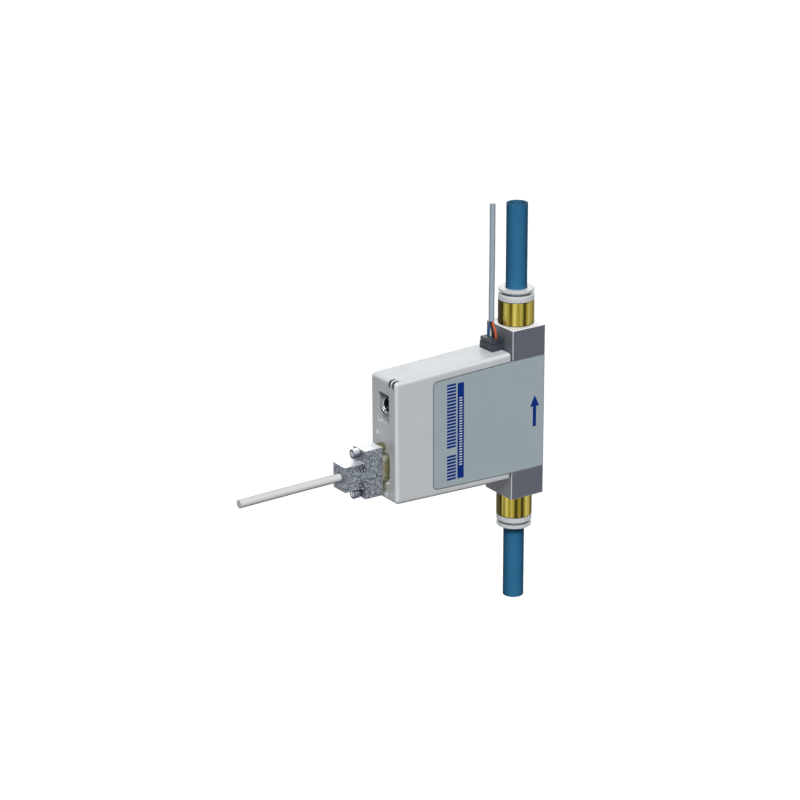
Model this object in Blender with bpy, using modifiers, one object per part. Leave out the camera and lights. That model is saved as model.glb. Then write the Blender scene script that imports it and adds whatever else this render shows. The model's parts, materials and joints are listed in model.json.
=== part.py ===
"""Flow controller for compressed air, in metres, +Z up, with the back of its metal block at Y = 0.

A metal flow block stands upright between two push-in tube fittings. A moulded case on its
front holds the electronics, the flow sensor and a small solenoid valve. The case carries a
round socket, a nine-way connector with its cable, and a four-wire plug on its top.
"""
import math

import bmesh
import bpy
from mathutils import Matrix, Vector

COLLECTION_NAME = "flow_controller"

# Clearances between pieces
GAP = 0.0003

# Fineness of the meshes
ROUND_SEGMENTS = 28
SMALL_SEGMENTS = 16
HOLE_SEGMENTS = 8
MERGE_DISTANCE = 0.00001
SHARP_ANGLE = math.radians(35.0)

# Flow block
BLOCK_WIDTH = 0.0265
BLOCK_DEPTH = 0.0238
BLOCK_HEIGHT = 0.107
BLOCK_EDGE = 0.0004
PORT_RADIUS = 0.0079
PORT_DEPTH = 0.011
INLET_BORE_RADIUS = 0.0057
INLET_BORE_TOP = -0.0095
OUTLET_BORE_RADIUS = 0.004
OUTLET_BORE_BOTTOM = 0.009
PANEL_HOLE_RADIUS = 0.00165
PANEL_HOLE_DEPTH = 0.007
PANEL_HOLE_SPACING = 0.08

# Case cover
CASE_LENGTH = 0.0829
CASE_FRONT_HEIGHT = 0.075
CASE_REAR_HEIGHT = 0.0806
CASE_WALL = 0.0018
CASE_FILLET = 0.0024
CASE_FILLET_STEPS = 4

# Label on the +X side
LABEL_THICKNESS = 0.0005
LABEL_PROUD = 0.0001
LABEL_LENGTH = 0.0807
LABEL_TOP_MARGIN = 0.0053
LABEL_BOTTOM_MARGIN = 0.0046
LABEL_CORNER = 0.003
LABEL_REAR_MARGIN = 0.0004

# Light guides over the top front edge
GUIDE_WIDTH = 0.0014
GUIDE_CENTRES = {"light_guide_left": 0.0064, "light_guide_right": 0.0099}
GUIDE_LEG = 0.0016

# Round socket in its pocket
POCKET_WIDTH = 0.0112
POCKET_HEIGHT = 0.0184
POCKET_DEPTH = 0.003
POCKET_CENTRE_X = 0.0003
POCKET_DROP = 0.0185
POCKET_CORNER = 0.0005
SOCKET_RISE = 0.0011
SOCKET_RIM_RADIUS = 0.0053
SOCKET_RIM_THICKNESS = 0.001
SOCKET_MOUTH_RADIUS = 0.005
SOCKET_MOUTH_DEPTH = 0.0015
SOCKET_BARREL_RADIUS = 0.0046
SOCKET_BORE_RADIUS = 0.004
SOCKET_LENGTH = 0.009
SOCKET_INSERT_DEPTH = 0.0055
SOCKET_KEY_RADIUS = 0.0008

# Nine-way connector: a shell with a D outline behind the floor of its recess in the front wall
CONNECTOR_RISE = 0.0203
RECESS_WIDTH = 0.013
RECESS_HEIGHT = 0.0192
RECESS_DEPTH = 0.0014
SCREW_PITCH = 0.025
D_LENGTH = 0.0169
D_WIDTH = 0.0084
D_CORNER = 0.0026
D_CORNER_STEPS = 3
D_SLANT = math.radians(10.0)
D_WALL = 0.0005
D_REACH = 0.0056
FLANGE_LENGTH = 0.0308
FLANGE_WIDTH = 0.0125
FLANGE_THICKNESS = 0.001
INSERT_REACH = 0.006
SCREW_HOLE_RADIUS = 0.0018
JACKPOST_SIDES = 6
JACKPOST_ACROSS_FLATS = 0.0048
JACKPOST_LENGTH = 0.0042
JACKPOST_STUD_RADIUS = 0.0014
JACKPOST_BORE_RADIUS = 0.0016
JACKPOST_BORE_DEPTH = 0.0036

# Cable hood and its screws
HOOD_THICKNESS = 0.0124
HOOD_SHOULDER_HEIGHT = 0.0296
HOOD_SHOULDER_LENGTH = 0.0121
HOOD_NECK_HEIGHT = 0.0154
HOOD_NECK_LENGTH = 0.0139
HOOD_WALL = 0.002
HOOD_CAVITY_HEIGHT = 0.017
PLUG_FLANGE_LENGTH = 0.0282
PLUG_FLANGE_WIDTH = 0.0106
HOOD_SCREW_HEAD_RADIUS = 0.0021
HOOD_SCREW_HEAD_HEIGHT = 0.001
HOOD_SCREW_SHANK_RADIUS = 0.001
HOOD_SCREW_SPACING = 0.0108
HOOD_SCREW_INSET = 0.0021
JACKSCREW_SHANK_RADIUS = 0.0013
JACKSCREW_NECK_RADIUS = 0.0021
JACKSCREW_RIM_RADIUS = 0.0028
JACKSCREW_RIM_LENGTH = 0.0036
JACKSCREW_NECK_LENGTH = 0.001
JACKSCREW_SLOT_WIDTH = 0.0007
JACKSCREW_SLOT_DEPTH = 0.0008
JACKSCREW_ENGAGEMENT = 0.003

# Cables, in world points that they follow
SIGNAL_CABLE_DIAMETER = 0.005
SIGNAL_CABLE_ROUTE = (
    (0.0, -0.1290, -0.0172),
    (0.0, -0.1376, -0.0172),
    (0.0, -0.1600, -0.0174),
    (0.0, -0.1820, -0.0177),
    (0.0, -0.2046, -0.0181),
)
SENSOR_CABLE_DIAMETER = 0.0034
SENSOR_CABLE_ROUTE = (
    (-0.0012, -0.0290, 0.0572),
    (-0.0012, -0.0290, 0.0700),
    (-0.0011, -0.0289, 0.0850),
    (-0.0010, -0.0289, 0.1050),
    (-0.0010, -0.0289, 0.1282),
)
CABLE_POINT_SPACING = 2.4

# Four-wire plug on the top of the case
HEADER_WIDTH = 0.0127
HEADER_DEPTH = 0.0088
HEADER_CENTRE_X = -0.00115
HEADER_SINK = 0.0068
HEADER_RISE = 0.0039
HEADER_WALL = 0.0012
HEADER_FLOOR = 0.0015
PLUG_CAP_HEIGHT = 0.0024
PLUG_CAP_INSET = 0.0003
WIRE_START_ANGLES = {
    "wire_blue": math.radians(191.0),
    "wire_white": math.radians(101.0),
    "wire_black": math.radians(281.0),
    "wire_orange": math.radians(11.0),
}
WIRE_DIAMETER = 0.0012
WIRE_PITCH = 0.0027
WIRE_BUNDLE_RADIUS = 0.00095
WIRE_BULGE = 0.0006
WIRE_BULGE_SHARE = 0.55
WIRE_DROOP_SHARE = 0.45

# Chassis plate and board
SHEET = 0.0008
CHASSIS_WEB_GAP = 0.0006
CHASSIS_END_MARGIN = 0.0103
CHASSIS_FRONT_HEIGHT = 0.0404
CHASSIS_FRONT_MARGIN = 0.0023
CHASSIS_FLANGE_REACH = 0.0195
CHASSIS_SCREW_MARGIN = 0.0035
CHASSIS_SCREW_X = -0.0072
CHASSIS_SCREW_RADIUS = 0.0012
CHASSIS_SCREW_HEAD_RADIUS = 0.0022
CHASSIS_SCREW_HEAD_HEIGHT = 0.0014
CHASSIS_SCREW_LENGTH = 0.006
BOARD_THICKNESS = 0.0014
BOARD_END_MARGIN = 0.003
BOARD_FRONT_CLEARANCE = 0.0075
BOARD_REAR_CLEARANCE = 0.010
SPACER_LENGTH = 0.0012
SPACER_RADIUS = 0.002
CASE_SCREW_X = {"case_screw_upper": -0.0059, "case_screw_lower": 0.0033}
CASE_SCREW_SHARE = 0.45
CASE_SCREW_RISE = 0.0035
CASE_SCREW_HEAD_RADIUS = 0.0014
CASE_SCREW_HEAD_HEIGHT = 0.0008
CASE_SCREW_SHANK_RADIUS = 0.0008
CASE_SCREW_TIP = 0.0012

# Flow sensor on the front of the block
SENSOR_WIDTH = 0.009
SENSOR_DEPTH = 0.008
TAP_CASE_MARGIN = 0.0058
TAP_SPACING = 0.0215
TAP_RADIUS = 0.0012
SENSOR_CHANNEL_RADIUS = 0.0013
SENSOR_UPPER_MARGIN = 0.004
SENSOR_LOWER_MARGIN = 0.0025
TAP_SEAL_OUTER = 0.0026
TAP_SEAL_INNER = 0.0015
TAP_SEAL_HEIGHT = 0.0014
BYPASS_BOTTOM = -0.0325
BYPASS_TOP = -0.0150
BYPASS_HOLE_RADIUS = 0.0011
BYPASS_HOLE_CIRCLE = 0.0034
BYPASS_HOLES = 6

# Solenoid valve on the front of the block, its axis along Y
VALVE_X = 0.0022
VALVE_Z = 0.012
CHAMBER_RADIUS = 0.0056
CHAMBER_DEPTH = 0.008
SEAT_THICKNESS = 0.0034
SEAT_ORIFICE_RADIUS = 0.0012
SEAT_LIP_RADIUS = 0.0022
SEAT_LIP_HEIGHT = 0.0006
VALVE_SEAL_INNER = 0.0066
VALVE_SEAL_OUTER = 0.0076
VALVE_SEAL_HEIGHT = 0.0012
VALVE_OUTLET_RADIUS = 0.0022
GUIDE_FLANGE_RADIUS = 0.0086
GUIDE_FLANGE_THICKNESS = 0.002
GUIDE_TUBE_RADIUS = 0.0046
GUIDE_TUBE_WALL = 0.0006
GUIDE_TUBE_LENGTH = 0.022
PLUNGER_LENGTH = 0.0178
PLUNGER_STROKE = 0.0012
PLUNGER_STOP_CLEARANCE = 0.0004
SPRING_POCKET_RADIUS = 0.0026
SPRING_POCKET_DEPTH = 0.0075
SPRING_WIRE_RADIUS = 0.00025
SPRING_TURNS = 5
SPRING_POINTS_PER_TURN = 10
CORE_LENGTH = 0.009
CORE_HEAD_HEIGHT = 0.0016
COIL_RADIUS = 0.007
COIL_LENGTH = 0.0165

# Push-in tube fittings, both the same
TUBE_RADIUS = 0.00635
TUBE_WALL = 0.0021
FITTING_RADIUS = 0.0108
FITTING_HEIGHT = 0.0143
FITTING_EDGE = 0.0004
FITTING_STUD_LENGTH = 0.0095
FITTING_SHOULDER = 0.0025
FITTING_POCKET_RADIUS = 0.0086
FITTING_POCKET_FLOOR = 0.0055
TUBE_SEAL_HEIGHT = 0.0025
CHUCK_HEIGHT = 0.0015
GUIDE_RING_HEIGHT = 0.0033
GUIDE_RING_SKIRT = 0.0032
GUIDE_RING_BORE = 0.00775
GUIDE_RING_SLOPE = 0.0005
COLLAR_TRAVEL_GAP = 0.0021
COLLAR_FLANGE_THICKNESS = 0.0016
COLLAR_FLANGE_RADIUS = 0.0107
COLLAR_STROKE = 0.0015
TUBE_ENDS = {"upper": 0.0731, "lower": 0.0686}

# Places worked out from the sizes above
BLOCK_FRONT_Y = -BLOCK_DEPTH
FRONT_Y = BLOCK_FRONT_Y - CASE_LENGTH
CASE_REAR_Y = BLOCK_FRONT_Y - GAP
FRONT_WALL_REAR_Y = FRONT_Y + CASE_WALL
PORT_Y = -BLOCK_DEPTH / 2
SIDE_X = BLOCK_WIDTH / 2
HOOD_FRONT_Y = FRONT_Y - GAP - JACKPOST_LENGTH - GAP
HOOD_SHOULDER_Y = HOOD_FRONT_Y - HOOD_SHOULDER_LENGTH
HOOD_END_Y = HOOD_SHOULDER_Y - HOOD_NECK_LENGTH
RECESS_FLOOR_Y = FRONT_Y + RECESS_DEPTH
RECEPTACLE_Y = RECESS_FLOOR_Y + CASE_WALL + GAP
CHASSIS_FRONT_Y = RECEPTACLE_Y + FLANGE_THICKNESS + GAP
CHASSIS_WEB_X = -SIDE_X + CASE_WALL + CHASSIS_WEB_GAP
CHASSIS_HALF_HEIGHT = CASE_REAR_HEIGHT / 2 - CHASSIS_END_MARGIN
CHASSIS_SCREW_Z = CHASSIS_HALF_HEIGHT - CHASSIS_SCREW_MARGIN
POCKET_CENTRE_Z = CASE_FRONT_HEIGHT / 2 - POCKET_DROP
SOCKET_Z = POCKET_CENTRE_Z + SOCKET_RISE
POCKET_TRAY_BOTTOM = POCKET_CENTRE_Z - POCKET_HEIGHT / 2 - CASE_WALL
CONNECTOR_Z = CONNECTOR_RISE - CASE_FRONT_HEIGHT / 2
HEADER_TOP = CASE_REAR_HEIGHT / 2 + HEADER_RISE
HEADER_BOTTOM = CASE_REAR_HEIGHT / 2 - HEADER_SINK
TAP_LOWER_Z = TAP_CASE_MARGIN - CASE_REAR_HEIGHT / 2
TAPS = {"lower": TAP_LOWER_Z, "upper": TAP_LOWER_Z + TAP_SPACING}
CONNECTOR_TRAY_TOP = CONNECTOR_Z + FLANGE_LENGTH / 2
CASE_SCREW_Z = {
    "case_screw_upper": (CONNECTOR_TRAY_TOP
                         + CASE_SCREW_SHARE * (POCKET_TRAY_BOTTOM - CONNECTOR_TRAY_TOP)),
    "case_screw_lower": CASE_SCREW_RISE - CASE_FRONT_HEIGHT / 2,
}
CASE_SCREWS = {name: (x, CASE_SCREW_Z[name]) for name, x in CASE_SCREW_X.items()}
CASE_SCREW_LENGTH = CHASSIS_FRONT_Y + SHEET + CASE_SCREW_TIP - FRONT_Y

# Turns that point a piece's own +Z out of the front, and lay its XY plane in the YZ plane
FACING_FRONT = (math.pi / 2, 0.0, 0.0)
FACING_SIDE = (math.pi / 2, 0.0, math.pi / 2)
FACING_RIGHT = (0.0, math.pi / 2, 0.0)
UPRIGHT = (0.0, 0.0, 0.0)
UPSIDE_DOWN = (math.pi, 0.0, 0.0)

COLOURS = {
    "block_metal": ((0.12, 0.125, 0.15), 0.5, 0.7),
    "case_plastic": ((0.70, 0.70, 0.71), 0.45, 0.0),
    "label_film": ((0.32, 0.38, 0.41), 0.5, 0.0),
    "guide_plastic": ((0.02, 0.05, 0.16), 0.3, 0.0),
    "bright_metal": ((0.60, 0.60, 0.62), 0.3, 1.0),
    "black_plastic": ((0.012, 0.012, 0.014), 0.5, 0.0),
    "chromate_metal": ((0.45, 0.38, 0.12), 0.4, 0.9),
    "hood_metal": ((0.25, 0.26, 0.30), 0.65, 0.6),
    "brass": ((0.62, 0.50, 0.10), 0.25, 1.0),
    "white_plastic": ((0.78, 0.78, 0.80), 0.4, 0.0),
    "tube_blue": ((0.03, 0.12, 0.25), 0.4, 0.0),
    "white_jacket": ((0.80, 0.80, 0.80), 0.5, 0.0),
    "grey_jacket": ((0.38, 0.41, 0.45), 0.5, 0.0),
    "wire_blue": ((0.02, 0.12, 0.45), 0.45, 0.0),
    "wire_white": ((0.80, 0.78, 0.72), 0.45, 0.0),
    "wire_black": ((0.01, 0.01, 0.01), 0.45, 0.0),
    "wire_orange": ((0.70, 0.14, 0.03), 0.45, 0.0),
    "board_green": ((0.02, 0.14, 0.06), 0.5, 0.0),
    "rubber": ((0.02, 0.02, 0.02), 0.8, 0.0),
    "coil_wrap": ((0.45, 0.16, 0.06), 0.4, 0.6),
    "steel": ((0.50, 0.50, 0.52), 0.35, 1.0),
}


# Scene and object helpers

def clear_scene():
    for obj in list(bpy.data.objects):
        bpy.data.objects.remove(obj, do_unlink=True)


def new_collection(name):
    collection = bpy.data.collections.new(name)
    bpy.context.scene.collection.children.link(collection)
    return collection


def new_material(name, colour, roughness, metallic):
    material = bpy.data.materials.new(name)
    material.use_nodes = True
    shader = material.node_tree.nodes["Principled BSDF"]
    shader.inputs["Base Color"].default_value = (*colour, 1.0)
    shader.inputs["Roughness"].default_value = roughness
    shader.inputs["Metallic"].default_value = metallic
    material.diffuse_color = (*colour, 1.0)
    return material


def add_object(name, data, look, location=(0, 0, 0), rotation=UPRIGHT):
    obj = bpy.data.objects.new(name, data)
    obj.location = location
    obj.rotation_euler = rotation
    if look is None:
        CUTTERS.objects.link(obj)
        obj.hide_render = True
        obj.display_type = "WIRE"
    else:
        PARTS.objects.link(obj)
        data.materials.append(MATERIALS[look])
    return obj


def mesh_from(bm, name):
    bmesh.ops.recalc_face_normals(bm, faces=bm.faces)
    mesh = bpy.data.meshes.new(name)
    bm.to_mesh(mesh)
    bm.free()
    return mesh


def box(name, look, lowest, highest):
    bm = bmesh.new()
    bmesh.ops.create_cube(bm, size=1.0)
    size = Vector(highest) - Vector(lowest)
    middle = (Vector(highest) + Vector(lowest)) / 2
    bmesh.ops.scale(bm, vec=size, verts=bm.verts)
    return add_object(name, mesh_from(bm, name), look, middle)


def cylinder(name, look, radius, start, end, segments=SMALL_SEGMENTS):
    """A cylinder whose axis runs from one point to the other."""
    start = Vector(start)
    end = Vector(end)
    direction = end - start
    bm = bmesh.new()
    bmesh.ops.create_cone(bm, cap_ends=True, segments=segments, radius1=radius,
                          radius2=radius, depth=direction.length)
    obj = add_object(name, mesh_from(bm, name), look, (start + end) / 2)
    obj.rotation_euler = direction.to_track_quat("Z", "Y").to_euler()
    return obj


def turned(name, look, profile, location, rotation=UPRIGHT, segments=ROUND_SEGMENTS):
    """A solid of revolution about its own Z, from a profile of (radius, height) points.

    The profile runs down its outer side. A profile that starts and ends on the axis is open,
    and any other closes on itself as the section of a ring.
    """
    mesh = bpy.data.meshes.new(name)
    vertices = [(radius, 0.0, height) for radius, height in profile]
    edges = [(index, index + 1) for index in range(len(profile) - 1)]
    on_axis = profile[0][0] == 0.0 and profile[-1][0] == 0.0
    if not on_axis:
        edges.append((len(profile) - 1, 0))
    mesh.from_pydata(vertices, edges, [])
    obj = add_object(name, mesh, look, location, rotation)
    screw = obj.modifiers.new("Turn", "SCREW")
    screw.axis = "Z"
    screw.angle = 2 * math.pi
    screw.steps = segments
    screw.render_steps = segments
    screw.use_merge_vertices = True
    screw.merge_threshold = MERGE_DISTANCE
    screw.use_smooth_shade = False
    return obj


def ring(inner, outer, bottom, top):
    return [(outer, top), (outer, bottom), (inner, bottom), (inner, top)]


def disc(radius, bottom, top):
    return [(0.0, top), (radius, top), (radius, bottom), (0.0, bottom)]


def curve_to_mesh(obj):
    """Turns a curve object into a welded mesh object of the same name and place."""
    bpy.context.view_layer.update()
    evaluated = obj.evaluated_get(bpy.context.evaluated_depsgraph_get())
    mesh = bpy.data.meshes.new_from_object(evaluated)
    bm = bmesh.new()
    bm.from_mesh(mesh)
    bmesh.ops.remove_doubles(bm, verts=bm.verts, dist=MERGE_DISTANCE)
    bmesh.ops.recalc_face_normals(bm, faces=bm.faces)
    bm.to_mesh(mesh)
    bm.free()
    name = obj.name
    collection = obj.users_collection[0]
    is_cutter = obj.hide_render
    solid = bpy.data.objects.new(name + "_solid", mesh)
    collection.objects.link(solid)
    solid.matrix_world = obj.matrix_world.copy()
    curve = obj.data
    bpy.data.objects.remove(obj, do_unlink=True)
    bpy.data.curves.remove(curve)
    solid.name = name
    if is_cutter:
        solid.hide_render = True
        solid.display_type = "WIRE"
    return solid


def plate(name, look, outline, thickness, location, rotation):
    """A flat outline in the object's own XY plane, filled and as thick as given about it."""
    curve = bpy.data.curves.new(name, "CURVE")
    curve.dimensions = "2D"
    curve.fill_mode = "BOTH"
    curve.extrude = thickness / 2
    spline = curve.splines.new("POLY")
    spline.points.add(len(outline) - 1)
    for point, (x, y) in zip(spline.points, outline):
        point.co = (x, y, 0.0, 1.0)
    spline.use_cyclic_u = True
    return curve_to_mesh(add_object(name, curve, look, location, rotation))


def wire(name, look, points, radius):
    """A round wire along the points, with closed ends."""
    curve = bpy.data.curves.new(name, "CURVE")
    curve.dimensions = "3D"
    curve.bevel_depth = radius
    curve.bevel_resolution = 2
    curve.use_fill_caps = True
    spline = curve.splines.new("POLY")
    spline.points.add(len(points) - 1)
    for point, place in zip(spline.points, points):
        point.co = (*place, 1.0)
    return curve_to_mesh(add_object(name, curve, look))


def smooth_route(route, spacing):
    """Points about one spacing apart on a smooth curve through the route's own points."""
    knots = [Vector(place) for place in route]
    padded = [2 * knots[0] - knots[1], *knots, 2 * knots[-1] - knots[-2]]
    points = []
    for before, start, end, after in zip(padded, padded[1:], padded[2:], padded[3:]):
        steps = max(1, round((end - start).length / spacing))
        for step in range(steps):
            share = step / steps
            points.append(0.5 * (2 * start + (end - before) * share
                                 + (2 * before - 5 * start + 4 * end - after) * share ** 2
                                 + (3 * start - before - 3 * end + after) * share ** 3))
    points.append(knots[-1])
    return points


def rounded(corners, steps):
    """The outline through the corners, each an (x, y, radius), with arcs at the corners."""
    outline = []
    count = len(corners)
    for index, (x, y, radius) in enumerate(corners):
        corner = Vector((x, y))
        if radius == 0.0:
            outline.append(corner)
            continue
        to_last = (Vector(corners[index - 1][:2]) - corner).normalized()
        to_next = (Vector(corners[(index + 1) % count][:2]) - corner).normalized()
        half_angle = to_last.angle(to_next) / 2
        middle = corner + (to_last + to_next).normalized() * (radius / math.sin(half_angle))
        first = corner + to_last * (radius / math.tan(half_angle)) - middle
        turn = first.angle_signed(corner + to_next * (radius / math.tan(half_angle)) - middle)
        for step in range(steps + 1):
            outline.append(middle + Matrix.Rotation(-turn * step / steps, 2) @ first)
    return outline


def rectangle(width, height, radius, centre=(0.0, 0.0)):
    x, y = centre
    return [
        (x - width / 2, y - height / 2, radius),
        (x + width / 2, y - height / 2, radius),
        (x + width / 2, y + height / 2, radius),
        (x - width / 2, y + height / 2, radius),
    ]


def ease_edges(obj, width):
    """Chamfers every edge of a box by the width."""
    bm = bmesh.new()
    bm.from_mesh(obj.data)
    bmesh.ops.bevel(bm, geom=bm.edges[:], offset=width, segments=1, affect="EDGES")
    bm.to_mesh(obj.data)
    bm.free()


def combine(target, other, operation):
    modifier = target.modifiers.new(other.name, "BOOLEAN")
    modifier.operation = operation
    modifier.solver = "EXACT"
    modifier.object = other


def cut(target, cutter):
    combine(target, cutter, "DIFFERENCE")


def join(target, addition):
    combine(target, addition, "UNION")


# Case shape

def case_half_height(y):
    """Half of the case's height, which falls toward the front as the mould draws."""
    share = (y - FRONT_Y) / CASE_LENGTH
    return (CASE_FRONT_HEIGHT + (CASE_REAR_HEIGHT - CASE_FRONT_HEIGHT) * share) / 2


def tapered_box(name, look, half_width, front_y, rear_y, inset, fillet):
    """The case's outline, inset all round, between two places along Y."""
    bm = bmesh.new()
    bmesh.ops.create_cube(bm, size=2.0)
    for vertex in bm.verts:
        y = front_y if vertex.co.y < 0 else rear_y
        half_height = case_half_height(y) - inset
        vertex.co = (vertex.co.x * half_width, y, vertex.co.z * half_height)
    if fillet > 0.0:
        edges = [edge for edge in bm.edges if min(v.co.y for v in edge.verts) < rear_y]
        bmesh.ops.bevel(bm, geom=edges, offset=fillet, segments=CASE_FILLET_STEPS,
                        profile=0.5, affect="EDGES", clamp_overlap=True)
    return add_object(name, mesh_from(bm, name), look)


def d_outline(margin):
    """The connector's D outline, grown all round by the margin, its long side along Y."""
    half_width = D_WIDTH / 2 + margin
    half_length = D_LENGTH / 2 + margin
    narrow = half_length - 2 * half_width * math.tan(D_SLANT)
    radius = D_CORNER + margin
    return rounded([
        (half_width, -half_length, radius),
        (half_width, half_length, radius),
        (-half_width, narrow, radius),
        (-half_width, -narrow, radius),
    ], D_CORNER_STEPS)


def label_outline(margin):
    """The label's outline in Y and Z, grown by the margin on all its edges.

    It follows the taper of the case and runs level over the block.
    """
    rear = -LABEL_REAR_MARGIN + 2 * margin
    front = -LABEL_LENGTH - margin
    top = LABEL_TOP_MARGIN - margin
    bottom = LABEL_BOTTOM_MARGIN - margin
    front_half = case_half_height(front)
    rear_half = CASE_REAR_HEIGHT / 2
    return rounded([
        (front, bottom - front_half, LABEL_CORNER),
        (BLOCK_FRONT_Y, bottom - rear_half, 0.0),
        (rear, bottom - rear_half, 0.0),
        (rear, rear_half - top, 0.0),
        (BLOCK_FRONT_Y, rear_half - top, 0.0),
        (front, front_half - top, LABEL_CORNER),
    ], CASE_FILLET_STEPS)


def guide_outline(depth, margin):
    """A band that follows the case's top front edge, its outer side flush with the case."""
    top = case_half_height(FRONT_Y)
    leg = CASE_FILLET + GUIDE_LEG + margin
    slope = (case_half_height(0.0) - top) / -FRONT_Y
    inner = CASE_FILLET - depth
    outer_corner = (FRONT_Y, top, CASE_FILLET)
    inner_corner = (FRONT_Y + depth, top - depth + slope * depth, max(inner, MERGE_DISTANCE))
    return rounded([
        (FRONT_Y, top - leg, 0.0),
        (FRONT_Y + depth, top - leg, 0.0),
        inner_corner,
        (FRONT_Y + leg, top - depth + slope * leg, 0.0),
        (FRONT_Y + leg, top + slope * leg, 0.0),
        outer_corner,
    ], CASE_FILLET_STEPS)


# Flow block

def build_flow_block():
    half_height = BLOCK_HEIGHT / 2
    block = box("flow_block", "block_metal", (-SIDE_X, BLOCK_FRONT_Y, -half_height),
                (SIDE_X, 0.0, half_height))
    ease_edges(block, BLOCK_EDGE)
    cut(block, turned("outlet_passage", None, [
        (0.0, half_height + GAP),
        (PORT_RADIUS, half_height + GAP),
        (PORT_RADIUS, half_height - PORT_DEPTH),
        (OUTLET_BORE_RADIUS, half_height - PORT_DEPTH),
        (OUTLET_BORE_RADIUS, OUTLET_BORE_BOTTOM),
        (0.0, OUTLET_BORE_BOTTOM),
    ], (0.0, PORT_Y, 0.0)))
    cut(block, turned("inlet_passage", None, [
        (0.0, INLET_BORE_TOP),
        (INLET_BORE_RADIUS, INLET_BORE_TOP),
        (INLET_BORE_RADIUS, PORT_DEPTH - half_height),
        (PORT_RADIUS, PORT_DEPTH - half_height),
        (PORT_RADIUS, -half_height - GAP),
        (0.0, -half_height - GAP),
    ], (0.0, PORT_Y, 0.0)))
    cut_valve_passages(block)
    for end, tap_z in TAPS.items():
        cut(block, turned(f"sensor_tap_{end}", None, [
            (0.0, GAP),
            (TAP_SEAL_OUTER + GAP, GAP),
            (TAP_SEAL_OUTER + GAP, -TAP_SEAL_HEIGHT),
            (TAP_RADIUS, -TAP_SEAL_HEIGHT),
            (TAP_RADIUS, PORT_Y + INLET_BORE_RADIUS / 2),
            (0.0, PORT_Y + INLET_BORE_RADIUS / 2),
        ], (0.0, BLOCK_FRONT_Y, tap_z), FACING_FRONT, SMALL_SEGMENTS))
    for side in (-1, 1):
        panel_z = side * PANEL_HOLE_SPACING / 2
        cut(block, cylinder(f"panel_hole_{side}", None, PANEL_HOLE_RADIUS,
                            (0.0, -PANEL_HOLE_DEPTH, panel_z), (0.0, GAP, panel_z)))
        screw_z = side * CHASSIS_SCREW_Z
        cut(block, cylinder(f"chassis_hole_{side}", None, CHASSIS_SCREW_RADIUS + GAP,
                            (CHASSIS_SCREW_X, BLOCK_FRONT_Y - GAP, screw_z),
                            (CHASSIS_SCREW_X, BLOCK_FRONT_Y + CHASSIS_SCREW_LENGTH, screw_z)))
    cut(block, label_recess("block_label_recess"))


def cut_valve_passages(block):
    """The valve chamber, its seal groove, the slanted feed and the way to the outlet."""
    chamber_floor = BLOCK_FRONT_Y + CHAMBER_DEPTH
    cut(block, turned("valve_chamber", None, disc(CHAMBER_RADIUS, -CHAMBER_DEPTH, GAP),
                      (VALVE_X, BLOCK_FRONT_Y, VALVE_Z), FACING_FRONT))
    cut(block, turned("valve_groove", None,
                      ring(VALVE_SEAL_INNER - GAP, VALVE_SEAL_OUTER + GAP,
                           -VALVE_SEAL_HEIGHT, GAP),
                      (VALVE_X, BLOCK_FRONT_Y, VALVE_Z), FACING_FRONT))
    cut(block, cylinder("valve_outlet", None, VALVE_OUTLET_RADIUS,
                        (VALVE_X, chamber_floor - GAP, VALVE_Z), (VALVE_X, PORT_Y, VALVE_Z)))
    feed_start = (VALVE_X, BLOCK_FRONT_Y + CHAMBER_DEPTH / 4, VALVE_Z - CHAMBER_RADIUS / 2)
    feed_end = (0.0, PORT_Y - INLET_BORE_RADIUS / 2, INLET_BORE_TOP - INLET_BORE_RADIUS / 2)
    cut(block, cylinder("valve_feed", None, TAP_RADIUS, feed_start, feed_end))


def label_recess(name):
    depth = LABEL_THICKNESS - LABEL_PROUD + GAP
    reach = SIDE_X + LABEL_THICKNESS
    return plate(name, None, label_outline(GAP), reach - (SIDE_X - depth),
                 ((reach + SIDE_X - depth) / 2, 0.0, 0.0), FACING_SIDE)


# Case cover and what is set in it

def build_case_cover():
    cover = tapered_box("case_cover", "case_plastic", SIDE_X, FRONT_Y, CASE_REAR_Y, 0.0,
                        CASE_FILLET)
    cut(cover, tapered_box("case_hollow", None, SIDE_X - CASE_WALL, FRONT_WALL_REAR_Y,
                           CASE_REAR_Y + CASE_WALL, CASE_WALL, 0.0))
    pocket_floor = FRONT_Y + POCKET_DEPTH
    half_width = POCKET_WIDTH / 2 + CASE_WALL
    join(cover, box("pocket_tray", None,
                    (POCKET_CENTRE_X - half_width, FRONT_Y + CASE_WALL / 2, POCKET_TRAY_BOTTOM),
                    (POCKET_CENTRE_X + half_width, pocket_floor + CASE_WALL,
                     2 * POCKET_CENTRE_Z - POCKET_TRAY_BOTTOM)))
    half_width = RECESS_WIDTH / 2 + CASE_WALL
    join(cover, box("connector_tray", None,
                    (-half_width, FRONT_Y + CASE_WALL / 2, 2 * CONNECTOR_Z - CONNECTOR_TRAY_TOP),
                    (half_width, RECESS_FLOOR_Y + CASE_WALL, CONNECTOR_TRAY_TOP)))
    cut_front_openings(cover, pocket_floor)
    cut(cover, box("header_notch", None,
                   (HEADER_CENTRE_X - HEADER_WIDTH / 2 - GAP, header_front_y() - GAP,
                    case_half_height(CASE_REAR_Y) - 2 * CASE_WALL),
                   (HEADER_CENTRE_X + HEADER_WIDTH / 2 + GAP, CASE_REAR_Y + CASE_WALL,
                    case_half_height(CASE_REAR_Y) + CASE_WALL)))
    for name, x in GUIDE_CENTRES.items():
        cut(cover, plate(f"{name}_slot", None, slot_outline(), GUIDE_WIDTH + 2 * GAP,
                         (x, 0.0, 0.0), FACING_SIDE))
        plate(name, "guide_plastic", guide_outline(CASE_WALL, 0.0), GUIDE_WIDTH,
              (x, 0.0, 0.0), FACING_SIDE)
    cut(cover, label_recess("case_label_recess"))


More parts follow.
